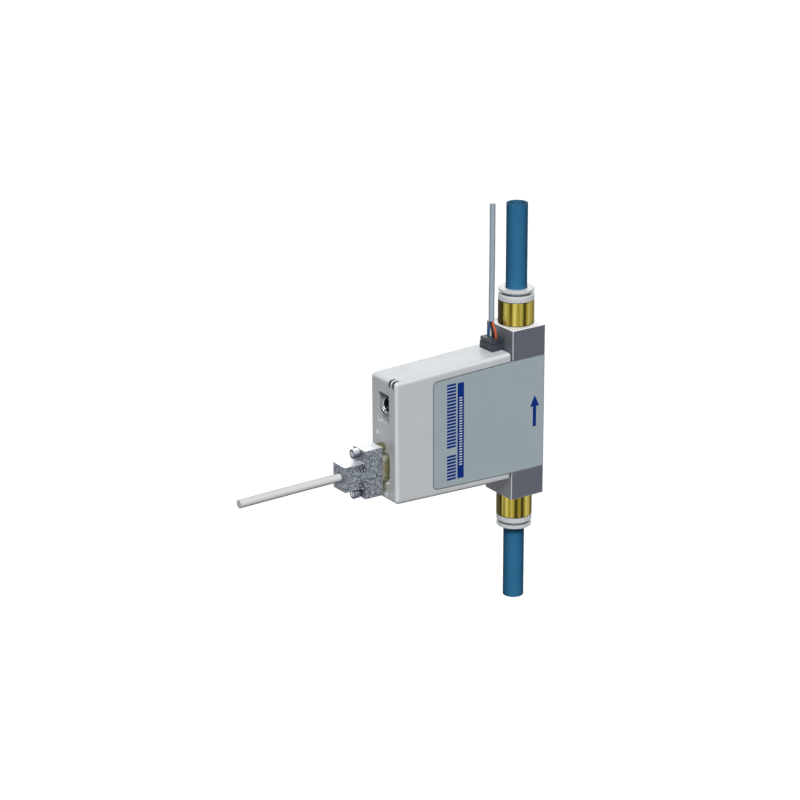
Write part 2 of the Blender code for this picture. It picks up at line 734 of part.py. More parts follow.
def slot_outline():
    """A slot through the wall around a light guide's band, open past the case's outside."""
    top = case_half_height(FRONT_Y)
    leg = CASE_FILLET + GUIDE_LEG + GAP
    depth = CASE_WALL + 2 * GAP
    return [
        (FRONT_Y - GAP, top - leg),
        (FRONT_Y + depth, top - leg),
        (FRONT_Y + depth, top - depth),
        (FRONT_Y + leg, top - depth),
        (FRONT_Y + leg, top + CASE_WALL),
        (FRONT_Y - GAP, top + CASE_WALL),
    ]


def cut_front_openings(cover, pocket_floor):
    """The socket's pocket and hole, the connector's recess and opening, and the screws' holes."""
    pocket = rounded(rectangle(POCKET_WIDTH, POCKET_HEIGHT, POCKET_CORNER,
                               (POCKET_CENTRE_X, POCKET_CENTRE_Z)), D_CORNER_STEPS)
    cut(cover, plate("socket_pocket", None, pocket, 2 * POCKET_DEPTH, (0.0, FRONT_Y, 0.0),
                     FACING_FRONT))
    cut(cover, cylinder("socket_hole", None, SOCKET_BARREL_RADIUS + GAP,
                        (POCKET_CENTRE_X, pocket_floor - GAP, SOCKET_Z),
                        (POCKET_CENTRE_X, pocket_floor + 2 * CASE_WALL, SOCKET_Z),
                        ROUND_SEGMENTS))
    recess = rounded(rectangle(RECESS_WIDTH, RECESS_HEIGHT, POCKET_CORNER, (0.0, CONNECTOR_Z)),
                     D_CORNER_STEPS)
    cut(cover, plate("connector_recess", None, recess, 2 * RECESS_DEPTH, (0.0, FRONT_Y, 0.0),
                     FACING_FRONT))
    cut(cover, plate("connector_opening", None, d_outline(GAP), 4 * CASE_WALL,
                     (0.0, FRONT_Y, CONNECTOR_Z), FACING_FRONT))
    for side in (-1, 1):
        z = CONNECTOR_Z + side * SCREW_PITCH / 2
        cut(cover, cylinder(f"jackpost_hole_{side}", None, SCREW_HOLE_RADIUS,
                            (0.0, FRONT_Y - GAP, z), (0.0, FRONT_Y + 2 * CASE_WALL, z)))
    for name, (x, z) in CASE_SCREWS.items():
        cut(cover, turned(f"{name}_hole", None, [
            (0.0, GAP),
            (CASE_SCREW_HEAD_RADIUS + GAP, GAP),
            (CASE_SCREW_HEAD_RADIUS + GAP, -CASE_SCREW_HEAD_HEIGHT - GAP),
            (CASE_SCREW_SHANK_RADIUS + GAP, -CASE_SCREW_HEAD_HEIGHT - GAP),
            (CASE_SCREW_SHANK_RADIUS + GAP, -2 * CASE_WALL),
            (0.0, -2 * CASE_WALL),
        ], (x, FRONT_Y, z), FACING_FRONT, SMALL_SEGMENTS))


def build_label():
    middle = SIDE_X + LABEL_PROUD - LABEL_THICKNESS / 2
    plate("side_label", "label_film", label_outline(0.0), LABEL_THICKNESS,
          (middle, 0.0, 0.0), FACING_SIDE)


def build_case_screws():
    for name, (x, z) in CASE_SCREWS.items():
        screw = turned(name, "steel", [
            (0.0, 0.0),
            (CASE_SCREW_HEAD_RADIUS, 0.0),
            (CASE_SCREW_HEAD_RADIUS, -CASE_SCREW_HEAD_HEIGHT),
            (CASE_SCREW_SHANK_RADIUS, -CASE_SCREW_HEAD_HEIGHT),
            (CASE_SCREW_SHANK_RADIUS, -CASE_SCREW_LENGTH),
            (0.0, -CASE_SCREW_LENGTH),
        ], (x, FRONT_Y, z), FACING_FRONT, SMALL_SEGMENTS)
        cut(screw, box(f"{name}_slot", None,
                       (x - CASE_SCREW_HEAD_RADIUS, FRONT_Y - GAP, z - GAP),
                       (x + CASE_SCREW_HEAD_RADIUS, FRONT_Y + GAP, z + GAP)))


def build_socket():
    """The round socket: a metal barrel with a rim and a flared mouth, and its moulded insert."""
    seat = (POCKET_CENTRE_X, FRONT_Y + POCKET_DEPTH - GAP, SOCKET_Z)
    length = SOCKET_LENGTH
    turned("socket_shell", "bright_metal", [
        (SOCKET_RIM_RADIUS, SOCKET_RIM_THICKNESS),
        (SOCKET_RIM_RADIUS, 0.0),
        (SOCKET_BARREL_RADIUS, 0.0),
        (SOCKET_BARREL_RADIUS, -length),
        (SOCKET_BORE_RADIUS, -length),
        (SOCKET_BORE_RADIUS, SOCKET_RIM_THICKNESS - SOCKET_MOUTH_DEPTH),
        (SOCKET_MOUTH_RADIUS, SOCKET_RIM_THICKNESS),
    ], seat, FACING_FRONT)
    radius = SOCKET_BORE_RADIUS - GAP
    insert = turned("socket_insert", "black_plastic",
                    disc(radius, -length - SOCKET_RIM_THICKNESS,
                         SOCKET_RIM_THICKNESS - SOCKET_INSERT_DEPTH),
                    seat, FACING_FRONT, SMALL_SEGMENTS)
    x, y, z = seat
    cut(insert, cylinder("socket_key", None, SOCKET_KEY_RADIUS, (x, y - length, z + radius),
                         (x, y + 2 * length, z + radius)))


# Nine-way connector: the device side, then the cable side

def build_receptacle():
    shell = plate("receptacle_shell", "chromate_metal",
                  rounded(rectangle(FLANGE_WIDTH, FLANGE_LENGTH, D_WALL), D_CORNER_STEPS),
                  FLANGE_THICKNESS, (0.0, RECEPTACLE_Y + FLANGE_THICKNESS / 2, CONNECTOR_Z),
                  FACING_FRONT)
    reach = RECESS_DEPTH + CASE_WALL + GAP + D_REACH - D_WALL
    middle = RECEPTACLE_Y + FLANGE_THICKNESS / 2 - reach / 2
    join(shell, plate("receptacle_tube", None, d_outline(0.0), reach,
                      (0.0, middle, CONNECTOR_Z), FACING_FRONT))
    cut(shell, plate("receptacle_hollow", None, d_outline(-D_WALL), 4 * reach,
                     (0.0, middle, CONNECTOR_Z), FACING_FRONT))
    insert_front = FRONT_Y
    insert_back = CHASSIS_FRONT_Y + INSERT_REACH
    plate("receptacle_insert", "black_plastic", d_outline(-D_WALL - GAP),
          insert_back - insert_front, (0.0, (insert_back + insert_front) / 2, CONNECTOR_Z),
          FACING_FRONT)
    for side, end in ((-1, "lower"), (1, "upper")):
        z = CONNECTOR_Z + side * SCREW_PITCH / 2
        cut(shell, cylinder(f"receptacle_hole_{end}", None, SCREW_HOLE_RADIUS,
                            (0.0, RECEPTACLE_Y - GAP, z),
                            (0.0, RECEPTACLE_Y + 2 * FLANGE_THICKNESS, z)))
        build_jackpost(f"jackpost_{end}", z)


def build_jackpost(name, z):
    """A hexagonal post with flats above and below, a stud behind and a threaded bore in front."""
    front = FRONT_Y - GAP - JACKPOST_LENGTH
    radius = JACKPOST_ACROSS_FLATS / 2 / math.cos(math.pi / JACKPOST_SIDES)
    post = cylinder(name, "chromate_metal", radius, (0.0, FRONT_Y - GAP, z), (0.0, front, z),
                    JACKPOST_SIDES)
    post.rotation_euler.rotate_axis("Z", math.pi / JACKPOST_SIDES)
    join(post, cylinder(f"{name}_stud", None, JACKPOST_STUD_RADIUS,
                        (0.0, FRONT_Y - 2 * GAP, z), (0.0, CHASSIS_FRONT_Y + 2 * SHEET, z)))
    cut(post, cylinder(f"{name}_bore", None, JACKPOST_BORE_RADIUS, (0.0, front - GAP, z),
                       (0.0, front + JACKPOST_BORE_DEPTH, z)))


def build_plug():
    """The cable's plug: a flanged shell that enters the receptacle, and its insert."""
    flange_middle = HOOD_FRONT_Y - FLANGE_THICKNESS / 2
    shell = plate("plug_shell", "chromate_metal",
                  rounded(rectangle(PLUG_FLANGE_WIDTH, PLUG_FLANGE_LENGTH, D_WALL),
                          D_CORNER_STEPS),
                  FLANGE_THICKNESS, (0.0, flange_middle, CONNECTOR_Z), FACING_FRONT)
    outside = -D_WALL - GAP
    inside = outside - D_WALL
    end = FRONT_Y - GAP
    join(shell, plate("plug_tube", None, d_outline(outside), end - flange_middle,
                      (0.0, (end + flange_middle) / 2, CONNECTOR_Z), FACING_FRONT))
    cut(shell, plate("plug_hollow", None, d_outline(inside), 4 * D_REACH,
                     (0.0, flange_middle, CONNECTOR_Z), FACING_FRONT))
    for side in (-1, 1):
        z = CONNECTOR_Z + side * SCREW_PITCH / 2
        cut(shell, cylinder(f"plug_hole_{side}", None, SCREW_HOLE_RADIUS,
                            (0.0, flange_middle - FLANGE_THICKNESS, z),
                            (0.0, flange_middle + FLANGE_THICKNESS, z)))
    insert_back = HOOD_FRONT_Y - INSERT_REACH
    plate("plug_insert", "black_plastic", d_outline(inside - GAP), end - insert_back,
          (0.0, (end + insert_back) / 2, CONNECTOR_Z), FACING_FRONT)


def hood_outline():
    shoulder = HOOD_SHOULDER_HEIGHT / 2
    neck = HOOD_NECK_HEIGHT / 2
    return [
        (HOOD_FRONT_Y, -shoulder),
        (HOOD_FRONT_Y, shoulder),
        (HOOD_SHOULDER_Y, shoulder),
        (HOOD_SHOULDER_Y, neck),
        (HOOD_END_Y, neck),
        (HOOD_END_Y, -neck),
        (HOOD_SHOULDER_Y, -neck),
        (HOOD_SHOULDER_Y, -shoulder),
    ]


def build_hood():
    """Two half shells that meet at X = 0 and close on the plug, its screws and the cable."""
    thickness = HOOD_THICKNESS / 2 - GAP / 2
    for name, side in (("hood_left", -1), ("hood_right", 1)):
        half = plate(name, "hood_metal", hood_outline(), thickness,
                     (side * (thickness + GAP) / 2, 0.0, CONNECTOR_Z), FACING_SIDE)
        for cutter in hood_cutters(name, side):
            cut(half, cutter)
    for end, side in (("lower", -1), ("upper", 1)):
        build_hood_screw(f"hood_screw_{end}", CONNECTOR_Z + side * HOOD_SCREW_SPACING / 2)
        build_jackscrew(f"jackscrew_{end}", CONNECTOR_Z + side * SCREW_PITCH / 2)


def hood_screw_y():
    return HOOD_SHOULDER_Y - HOOD_SCREW_INSET


def hood_cutters(name, side):
    depth = HOOD_THICKNESS / 2 - HOOD_WALL
    low_x, high_x = sorted((-side * GAP, side * depth))
    wide = HOOD_CAVITY_HEIGHT / 2
    narrow = HOOD_NECK_HEIGHT / 2 - 2 * HOOD_WALL
    flange_width = PLUG_FLANGE_WIDTH / 2 + GAP
    flange_length = PLUG_FLANGE_LENGTH / 2 + GAP
    pocket_low, pocket_high = sorted((-side * GAP, side * flange_width))
    yield box(f"{name}_flange_pocket", None,
              (pocket_low, HOOD_FRONT_Y - FLANGE_THICKNESS - GAP, CONNECTOR_Z - flange_length),
              (pocket_high, HOOD_FRONT_Y + GAP, CONNECTOR_Z + flange_length))
    yield box(f"{name}_wide_hollow", None,
              (low_x, HOOD_SHOULDER_Y + HOOD_WALL, CONNECTOR_Z - wide),
              (high_x, HOOD_FRONT_Y - GAP, CONNECTOR_Z + wide))
    yield box(f"{name}_narrow_hollow", None,
              (low_x, HOOD_END_Y + HOOD_WALL, CONNECTOR_Z - narrow),
              (high_x, HOOD_SHOULDER_Y + HOOD_WALL + GAP, CONNECTOR_Z + narrow))
    yield cylinder(f"{name}_cable_hole", None, SIGNAL_CABLE_DIAMETER / 2 + GAP,
                   (0.0, HOOD_END_Y - GAP, CONNECTOR_Z),
                   (0.0, HOOD_END_Y + 2 * HOOD_WALL, CONNECTOR_Z))
    for end in (-1, 1):
        z = CONNECTOR_Z + end * SCREW_PITCH / 2
        yield cylinder(f"{name}_channel_{end}", None, JACKSCREW_SHANK_RADIUS + GAP,
                       (0.0, HOOD_SHOULDER_Y - GAP, z), (0.0, HOOD_FRONT_Y, z))
        z = CONNECTOR_Z + end * HOOD_SCREW_SPACING / 2
        x = side * (HOOD_THICKNESS / 2 + GAP) if side > 0 else side * depth
        yield cylinder(f"{name}_screw_hole_{end}", None, HOOD_SCREW_SHANK_RADIUS + GAP,
                       (-side * GAP, hood_screw_y(), z), (x, hood_screw_y(), z))


def build_hood_screw(name, z):
    """A pan-head screw through the right half into the left one."""
    head_seat = HOOD_THICKNESS / 2 + GAP
    tip = -HOOD_THICKNESS / 2 + HOOD_WALL + GAP
    screw = turned(name, "steel", [
        (0.0, HOOD_SCREW_HEAD_HEIGHT),
        (HOOD_SCREW_HEAD_RADIUS, HOOD_SCREW_HEAD_HEIGHT),
        (HOOD_SCREW_HEAD_RADIUS, 0.0),
        (HOOD_SCREW_SHANK_RADIUS, 0.0),
        (HOOD_SCREW_SHANK_RADIUS, tip - head_seat),
        (0.0, tip - head_seat),
    ], (head_seat, hood_screw_y(), z), FACING_RIGHT, SMALL_SEGMENTS)
    top = head_seat + HOOD_SCREW_HEAD_HEIGHT
    half_slot = JACKSCREW_SLOT_WIDTH / 2
    cut(screw, box(f"{name}_slot", None,
                   (top - HOOD_SCREW_HEAD_HEIGHT / 2, hood_screw_y() - half_slot,
                    z - HOOD_SCREW_HEAD_RADIUS - GAP),
                   (top + GAP, hood_screw_y() + half_slot, z + HOOD_SCREW_HEAD_RADIUS + GAP)))


def build_jackscrew(name, z):
    """A thumbscrew through the hood's shoulder into its jackpost, turning about Y."""
    tip = HOOD_FRONT_Y + GAP + JACKSCREW_ENGAGEMENT
    seat = HOOD_SHOULDER_Y - GAP
    neck_end = JACKSCREW_NECK_LENGTH
    rim_end = neck_end + JACKSCREW_RIM_LENGTH
    screw = turned(name, "bright_metal", [
        (0.0, rim_end),
        (JACKSCREW_RIM_RADIUS, rim_end),
        (JACKSCREW_RIM_RADIUS, neck_end),
        (JACKSCREW_NECK_RADIUS, neck_end),
        (JACKSCREW_NECK_RADIUS, 0.0),
        (JACKSCREW_SHANK_RADIUS, 0.0),
        (JACKSCREW_SHANK_RADIUS, seat - tip),
        (0.0, seat - tip),
    ], (0.0, seat, z), FACING_FRONT, SMALL_SEGMENTS)
    front = seat - rim_end
    half_slot = JACKSCREW_SLOT_WIDTH / 2
    cut(screw, box(f"{name}_slot", None,
                   (-half_slot, front - GAP, z - JACKSCREW_RIM_RADIUS - GAP),
                   (half_slot, front + JACKSCREW_SLOT_DEPTH, z + JACKSCREW_RIM_RADIUS + GAP)))


def build_cables():
    for name, look, route, diameter in (
            ("signal_cable", "white_jacket", SIGNAL_CABLE_ROUTE, SIGNAL_CABLE_DIAMETER),
            ("sensor_cable", "grey_jacket", SENSOR_CABLE_ROUTE, SENSOR_CABLE_DIAMETER)):
        wire(name, look, smooth_route(route, CABLE_POINT_SPACING * diameter), diameter / 2)


# Plug on the top of the case

def header_front_y():
    return CASE_REAR_Y - HEADER_DEPTH


def build_top_plug():
    low_x = HEADER_CENTRE_X - HEADER_WIDTH / 2
    high_x = HEADER_CENTRE_X + HEADER_WIDTH / 2
    header = box("sensor_header", "black_plastic", (low_x, header_front_y(), HEADER_BOTTOM),
                 (high_x, CASE_REAR_Y, HEADER_TOP))
    cut(header, box("header_hollow", None,
                    (low_x + HEADER_WALL, header_front_y() + HEADER_WALL,
                     HEADER_BOTTOM + HEADER_FLOOR),
                    (high_x - HEADER_WALL, CASE_REAR_Y - HEADER_WALL, HEADER_TOP + GAP)))
    inset = HEADER_WALL + GAP
    cap_top = HEADER_TOP + GAP + PLUG_CAP_HEIGHT
    plug = box("sensor_plug", "black_plastic",
               (low_x + PLUG_CAP_INSET, header_front_y() + PLUG_CAP_INSET, HEADER_TOP + GAP),
               (high_x - PLUG_CAP_INSET, CASE_REAR_Y - PLUG_CAP_INSET, cap_top))
    join(plug, box("plug_body", None,
                   (low_x + inset, header_front_y() + inset,
                    HEADER_BOTTOM + HEADER_FLOOR + GAP),
                   (high_x - inset, CASE_REAR_Y - inset, cap_top - GAP)))
    build_wires(cap_top)


def build_wires(plug_top):
    """Four wires that fan out from the end of the grey jacket to the plug's top."""
    jacket = Vector(SENSOR_CABLE_ROUTE[0])
    middle_y = (header_front_y() + CASE_REAR_Y) / 2
    count = len(WIRE_START_ANGLES)
    for index, (name, angle) in enumerate(WIRE_START_ANGLES.items()):
        offset = (index - (count - 1) / 2) * WIRE_PITCH
        start = Vector((jacket.x + WIRE_BUNDLE_RADIUS * math.cos(angle),
                        jacket.y + WIRE_BUNDLE_RADIUS * math.sin(angle), jacket.z - GAP))
        end = Vector((HEADER_CENTRE_X + offset, middle_y, plug_top + GAP))
        bulge = Vector((math.copysign(WIRE_BULGE, offset), 0.0, 0.0))
        middle = start.lerp(end, WIRE_BULGE_SHARE) + bulge
        droop = start.lerp(middle, WIRE_DROOP_SHARE) - Vector((0.0, 0.0, WIRE_BULGE))
        wire(name, name, smooth_route((start, droop, middle, end), WIRE_DIAMETER),
             WIRE_DIAMETER / 2)


# Inside the case

def build_chassis():
    """A folded plate: rear flange on the block, side web, and front flange at the connector."""
    inside = CHASSIS_WEB_X + SHEET
    rear = BLOCK_FRONT_Y - GAP
    reach = CHASSIS_WEB_X + CHASSIS_FLANGE_REACH
    half_height = CHASSIS_HALF_HEIGHT
    outline = [
        (CHASSIS_WEB_X, CHASSIS_FRONT_Y),
        (reach, CHASSIS_FRONT_Y),
        (reach, CHASSIS_FRONT_Y + SHEET),
        (inside, CHASSIS_FRONT_Y + SHEET),
        (inside, rear - SHEET),
        (reach, rear - SHEET),
        (reach, rear),
        (CHASSIS_WEB_X, rear),
    ]
    bottom = CHASSIS_FRONT_MARGIN - CASE_FRONT_HEIGHT / 2
    chassis = plate("chassis_plate", "steel", outline, half_height - bottom,
                    (0.0, 0.0, (half_height + bottom) / 2), UPRIGHT)
    far = CHASSIS_WEB_X - SHEET
    cut(chassis, box("chassis_front_relief", None,
                     (far, CHASSIS_FRONT_Y - SHEET, bottom + CHASSIS_FRONT_HEIGHT),
                     (reach + SHEET, FRONT_Y + POCKET_DEPTH + 3 * CASE_WALL,
                      half_height + SHEET)))
    cut(chassis, box("chassis_rear_relief", None,
                     (far, CHASSIS_FRONT_Y + 4 * SHEET, bottom - SHEET),
                     (reach + SHEET, rear + SHEET, -half_height)))
    cut(chassis, plate("chassis_connector", None, d_outline(GAP), 6 * SHEET,
                       (0.0, CHASSIS_FRONT_Y, CONNECTOR_Z), FACING_FRONT))
    cut(chassis, cylinder("chassis_valve_hole", None, GUIDE_FLANGE_RADIUS + GAP,
                          (VALVE_X, rear - 2 * SHEET, VALVE_Z), (VALVE_X, rear + SHEET, VALVE_Z),
                          ROUND_SEGMENTS))
    sensor_half = SENSOR_WIDTH / 2 + GAP
    cut(chassis, box("chassis_sensor_window", None,
                     (-sensor_half, rear - 2 * SHEET, -half_height - SHEET),
                     (reach + SHEET, rear + SHEET, TAPS["upper"] + SENSOR_UPPER_MARGIN + GAP)))
    for side, end in ((-1, "lower"), (1, "upper")):
        z = CONNECTOR_Z + side * SCREW_PITCH / 2
        cut(chassis, cylinder(f"chassis_post_hole_{end}", None, SCREW_HOLE_RADIUS,
                              (0.0, CHASSIS_FRONT_Y - SHEET, z),
                              (0.0, CHASSIS_FRONT_Y + 2 * SHEET, z)))
        build_chassis_screw(chassis, end, side * CHASSIS_SCREW_Z)
    for name, (x, z) in CASE_SCREWS.items():
        cut(chassis, cylinder(f"{name}_thread", None, CASE_SCREW_SHANK_RADIUS + GAP,
                              (x, CHASSIS_FRONT_Y - SHEET, z),
                              (x, CHASSIS_FRONT_Y + 2 * SHEET, z)))


def build_chassis_screw(chassis, end, z):
    seat = BLOCK_FRONT_Y - GAP - SHEET - GAP
    reach = CHASSIS_SCREW_LENGTH - GAP
    cut(chassis, cylinder(f"chassis_screw_hole_{end}", None, CHASSIS_SCREW_RADIUS + GAP,
                          (CHASSIS_SCREW_X, seat - SHEET, z),
                          (CHASSIS_SCREW_X, BLOCK_FRONT_Y, z)))
    turned(f"chassis_screw_{end}", "steel", [
        (0.0, CHASSIS_SCREW_HEAD_HEIGHT),
        (CHASSIS_SCREW_HEAD_RADIUS, CHASSIS_SCREW_HEAD_HEIGHT),
        (CHASSIS_SCREW_HEAD_RADIUS, 0.0),
        (CHASSIS_SCREW_RADIUS, 0.0),
        (CHASSIS_SCREW_RADIUS, seat - BLOCK_FRONT_Y - reach),
        (0.0, seat - BLOCK_FRONT_Y - reach),
    ], (CHASSIS_SCREW_X, seat, z), FACING_FRONT, SMALL_SEGMENTS)


def build_board():
    inside = CHASSIS_WEB_X + SHEET
    low_x = inside + GAP + SPACER_LENGTH + GAP
    rear_y = BLOCK_FRONT_Y - BOARD_REAR_CLEARANCE
    front_y = CHASSIS_FRONT_Y + BOARD_FRONT_CLEARANCE
    half_height = CHASSIS_HALF_HEIGHT - BOARD_END_MARGIN
    box("main_board", "board_green", (low_x, front_y, -half_height),
        (low_x + BOARD_THICKNESS, rear_y, half_height))
    margin = 2 * SPACER_RADIUS
    for name, y, z in (("board_spacer_front", front_y + margin, half_height - margin),
                       ("board_spacer_rear", rear_y - margin, margin - half_height)):
        cylinder(name, "white_plastic", SPACER_RADIUS, (inside + GAP, y, z),
                 (inside + GAP + SPACER_LENGTH, y, z))


def build_flow_sensor():
    """A block with a U-shaped channel over the two taps, its seals, and the bypass element."""
    seat = BLOCK_FRONT_Y - GAP
    low_z = TAPS["lower"] - SENSOR_LOWER_MARGIN
    high_z = TAPS["upper"] + SENSOR_UPPER_MARGIN
    half_width = SENSOR_WIDTH / 2
    sensor = box("flow_sensor", "bright_metal", (-half_width, seat - SENSOR_DEPTH, low_z),
                 (half_width, seat, high_z))
    channel_y = seat - SENSOR_DEPTH / 2
    cut(sensor, cylinder("sensor_channel", None, SENSOR_CHANNEL_RADIUS,
                         (0.0, channel_y, TAPS["lower"]), (0.0, channel_y, TAPS["upper"])))
    for end, tap_z in TAPS.items():
        cut(sensor, cylinder(f"sensor_inlet_{end}", None, TAP_RADIUS,
                             (0.0, channel_y - TAP_RADIUS / 2, tap_z),
                             (0.0, seat + GAP, tap_z)))
        turned(f"sensor_seal_{end}", "rubber",
               ring(TAP_SEAL_INNER, TAP_SEAL_OUTER, GAP - TAP_SEAL_HEIGHT, 0.0),
               (0.0, BLOCK_FRONT_Y, tap_z), FACING_FRONT, SMALL_SEGMENTS)
    build_bypass()


def build_bypass():
    """The bypass element, a cylinder with straight holes that evens out the flow."""
    bypass = turned("bypass_element", "steel",
                    disc(INLET_BORE_RADIUS - GAP, BYPASS_BOTTOM, BYPASS_TOP),
                    (0.0, PORT_Y, 0.0), segments=SMALL_SEGMENTS)
    for index in range(BYPASS_HOLES):
        angle = 2 * math.pi * index / BYPASS_HOLES
        x = BYPASS_HOLE_CIRCLE * math.cos(angle)
        y = PORT_Y + BYPASS_HOLE_CIRCLE * math.sin(angle)
        cut(bypass, cylinder(f"bypass_hole_{index}", None, BYPASS_HOLE_RADIUS,
                             (x, y, BYPASS_BOTTOM - GAP), (x, y, BYPASS_TOP + GAP),
                             HOLE_SEGMENTS))


def build_valve():
    """The solenoid valve, from its seat in the block out to the fixed core."""
    face = (VALVE_X, BLOCK_FRONT_Y, VALVE_Z)
    seat_floor = -CHAMBER_DEPTH + GAP
    seat_face = seat_floor + SEAT_THICKNESS
    lip = seat_face + SEAT_LIP_HEIGHT
    turned("valve_seat", "bright_metal", [
        (SEAT_LIP_RADIUS, lip),
        (SEAT_LIP_RADIUS, seat_face),
        (CHAMBER_RADIUS - GAP, seat_face),
        (CHAMBER_RADIUS - GAP, seat_floor),
        (SEAT_ORIFICE_RADIUS, seat_floor),
        (SEAT_ORIFICE_RADIUS, lip),
    ], face, FACING_FRONT, SMALL_SEGMENTS)
    turned("valve_seal", "rubber",
           ring(VALVE_SEAL_INNER, VALVE_SEAL_OUTER, GAP - VALVE_SEAL_HEIGHT, 0.0),
           face, FACING_FRONT)
    tube_end = GAP + GUIDE_TUBE_LENGTH
    bore = GUIDE_TUBE_RADIUS - GUIDE_TUBE_WALL
    turned("valve_guide", "steel", [
        (GUIDE_TUBE_RADIUS, tube_end),
        (GUIDE_TUBE_RADIUS, GAP + GUIDE_FLANGE_THICKNESS),
        (GUIDE_FLANGE_RADIUS, GAP + GUIDE_FLANGE_THICKNESS),
        (GUIDE_FLANGE_RADIUS, GAP),
        (bore, GAP),
        (bore, tube_end),
    ], face, FACING_FRONT)
    plunger_tip = lip + GAP
    plunger_end = plunger_tip + PLUNGER_LENGTH
    pocket_floor = plunger_end - SPRING_POCKET_DEPTH
    turned("valve_plunger", "steel", [
        (0.0, pocket_floor),
        (SPRING_POCKET_RADIUS, pocket_floor),
        (SPRING_POCKET_RADIUS, plunger_end),
        (bore - GAP, plunger_end),
        (bore - GAP, plunger_tip),
        (0.0, plunger_tip),
    ], face, FACING_FRONT, SMALL_SEGMENTS)
    core_face = plunger_end + PLUNGER_STROKE + PLUNGER_STOP_CLEARANCE
    core_end = core_face + CORE_LENGTH
    turned("valve_core", "steel", [
        (0.0, core_end + CORE_HEAD_HEIGHT),
        (GUIDE_TUBE_RADIUS, core_end + CORE_HEAD_HEIGHT),
        (GUIDE_TUBE_RADIUS, core_end),
        (bore - GAP, core_end),
        (bore - GAP, core_face),
        (0.0, core_face),
    ], face, FACING_FRONT, SMALL_SEGMENTS)
    coil_start = 2 * GAP + GUIDE_FLANGE_THICKNESS
    turned("valve_coil", "coil_wrap",
           ring(GUIDE_TUBE_RADIUS + GAP, COIL_RADIUS, coil_start, coil_start + COIL_LENGTH),
           face, FACING_FRONT)
    build_valve_spring(pocket_floor + GAP, core_face - GAP)


def build_valve_spring(start, end):
    """A coil spring between the floor of the plunger's pocket and the core."""
    radius = SPRING_POCKET_RADIUS - GAP - SPRING_WIRE_RADIUS
    count = SPRING_TURNS * SPRING_POINTS_PER_TURN
    low = start + SPRING_WIRE_RADIUS
    rise = end - start - 2 * SPRING_WIRE_RADIUS
    points = []
    for index in range(count + 1):
        angle = 2 * math.pi * index / SPRING_POINTS_PER_TURN
        points.append((VALVE_X + radius * math.cos(angle),
                       BLOCK_FRONT_Y - low - rise * index / count,
                       VALVE_Z + radius * math.sin(angle)))
    wire("valve_spring", "steel", points, SPRING_WIRE_RADIUS)


# Push-in tube fittings

def build_fitting(end, side):
    """One fitting on the block's top or bottom face, built outward along its own +Z."""
    place = (0.0, PORT_Y, side * BLOCK_HEIGHT / 2)
    turn = UPRIGHT if side > 0 else UPSIDE_DOWN
    tube_gap = TUBE_RADIUS + GAP
    pocket = FITTING_POCKET_RADIUS
    top = GAP + FITTING_HEIGHT
    tube_bore = TUBE_RADIUS - TUBE_WALL
    turned(f"{end}_fitting_body", "brass", [
        (FITTING_RADIUS - FITTING_EDGE, top),
        (FITTING_RADIUS, top - FITTING_EDGE),
        (FITTING_RADIUS, GAP + FITTING_EDGE),
        (FITTING_RADIUS - FITTING_EDGE, GAP),
        (PORT_RADIUS - GAP, GAP),
        (PORT_RADIUS - GAP, -FITTING_STUD_LENGTH),
        (tube_bore, -FITTING_STUD_LENGTH),
        (tube_bore, FITTING_SHOULDER),
        (tube_gap, FITTING_SHOULDER),
        (tube_gap, FITTING_POCKET_FLOOR),
        (pocket, FITTING_POCKET_FLOOR),
        (pocket, top),
    ], place, turn)
    seal_bottom = FITTING_POCKET_FLOOR + GAP
    seal_top = seal_bottom + TUBE_SEAL_HEIGHT
    turned(f"{end}_tube_seal", "rubber", ring(tube_gap, pocket - GAP, seal_bottom, seal_top),
           place, turn, SMALL_SEGMENTS)
    chuck_top = seal_top + GAP + CHUCK_HEIGHT
    turned(f"{end}_chuck", "steel", ring(tube_gap, pocket - GAP, seal_top + GAP, chuck_top),
           place, turn, SMALL_SEGMENTS)
    ring_bottom = top + GAP
    ring_top = ring_bottom + GUIDE_RING_HEIGHT
    turned(f"{end}_guide_ring", "white_plastic", [
        (GUIDE_RING_BORE + GUIDE_RING_SLOPE, ring_top),
        (FITTING_RADIUS - GUIDE_RING_SLOPE, ring_top),
        (FITTING_RADIUS, ring_top - GUIDE_RING_SLOPE),
        (FITTING_RADIUS, ring_bottom),
        (pocket - GAP, ring_bottom),
        (pocket - GAP, ring_bottom - GUIDE_RING_SKIRT),
        (GUIDE_RING_BORE, ring_bottom - GUIDE_RING_SKIRT),
        (GUIDE_RING_BORE, ring_top - GUIDE_RING_SLOPE),
    ], place, turn)
    build_collar_and_tube(end, place, turn, chuck_top, ring_top)


def build_collar_and_tube(end, place, turn, chuck_top, ring_top):
    """The release collar, free to be pushed in by its stroke, and the tube's cut length."""
    flange_bottom = ring_top + COLLAR_TRAVEL_GAP
    flange_top = flange_bottom + COLLAR_FLANGE_THICKNESS
    sleeve = GUIDE_RING_BORE - GAP
    turned(f"{end}_release_collar", "white_plastic", [
        (COLLAR_FLANGE_RADIUS - FITTING_EDGE, flange_top),
        (COLLAR_FLANGE_RADIUS, flange_top - FITTING_EDGE),
        (COLLAR_FLANGE_RADIUS, flange_bottom),
        (sleeve, flange_bottom),
        (sleeve, chuck_top + COLLAR_STROKE + GAP),
        (TUBE_RADIUS + GAP, chuck_top + COLLAR_STROKE + GAP),
        (TUBE_RADIUS + GAP, flange_top),
    ], place, turn)
    turned(f"{end}_tube", "tube_blue",
           ring(TUBE_RADIUS - TUBE_WALL, TUBE_RADIUS, FITTING_SHOULDER + GAP, TUBE_ENDS[end]),
           place, turn)


def shade_parts():
    for obj in PARTS.objects:
        obj.data.shade_smooth()
        obj.data.set_sharp_from_angle(angle=SHARP_ANGLE)


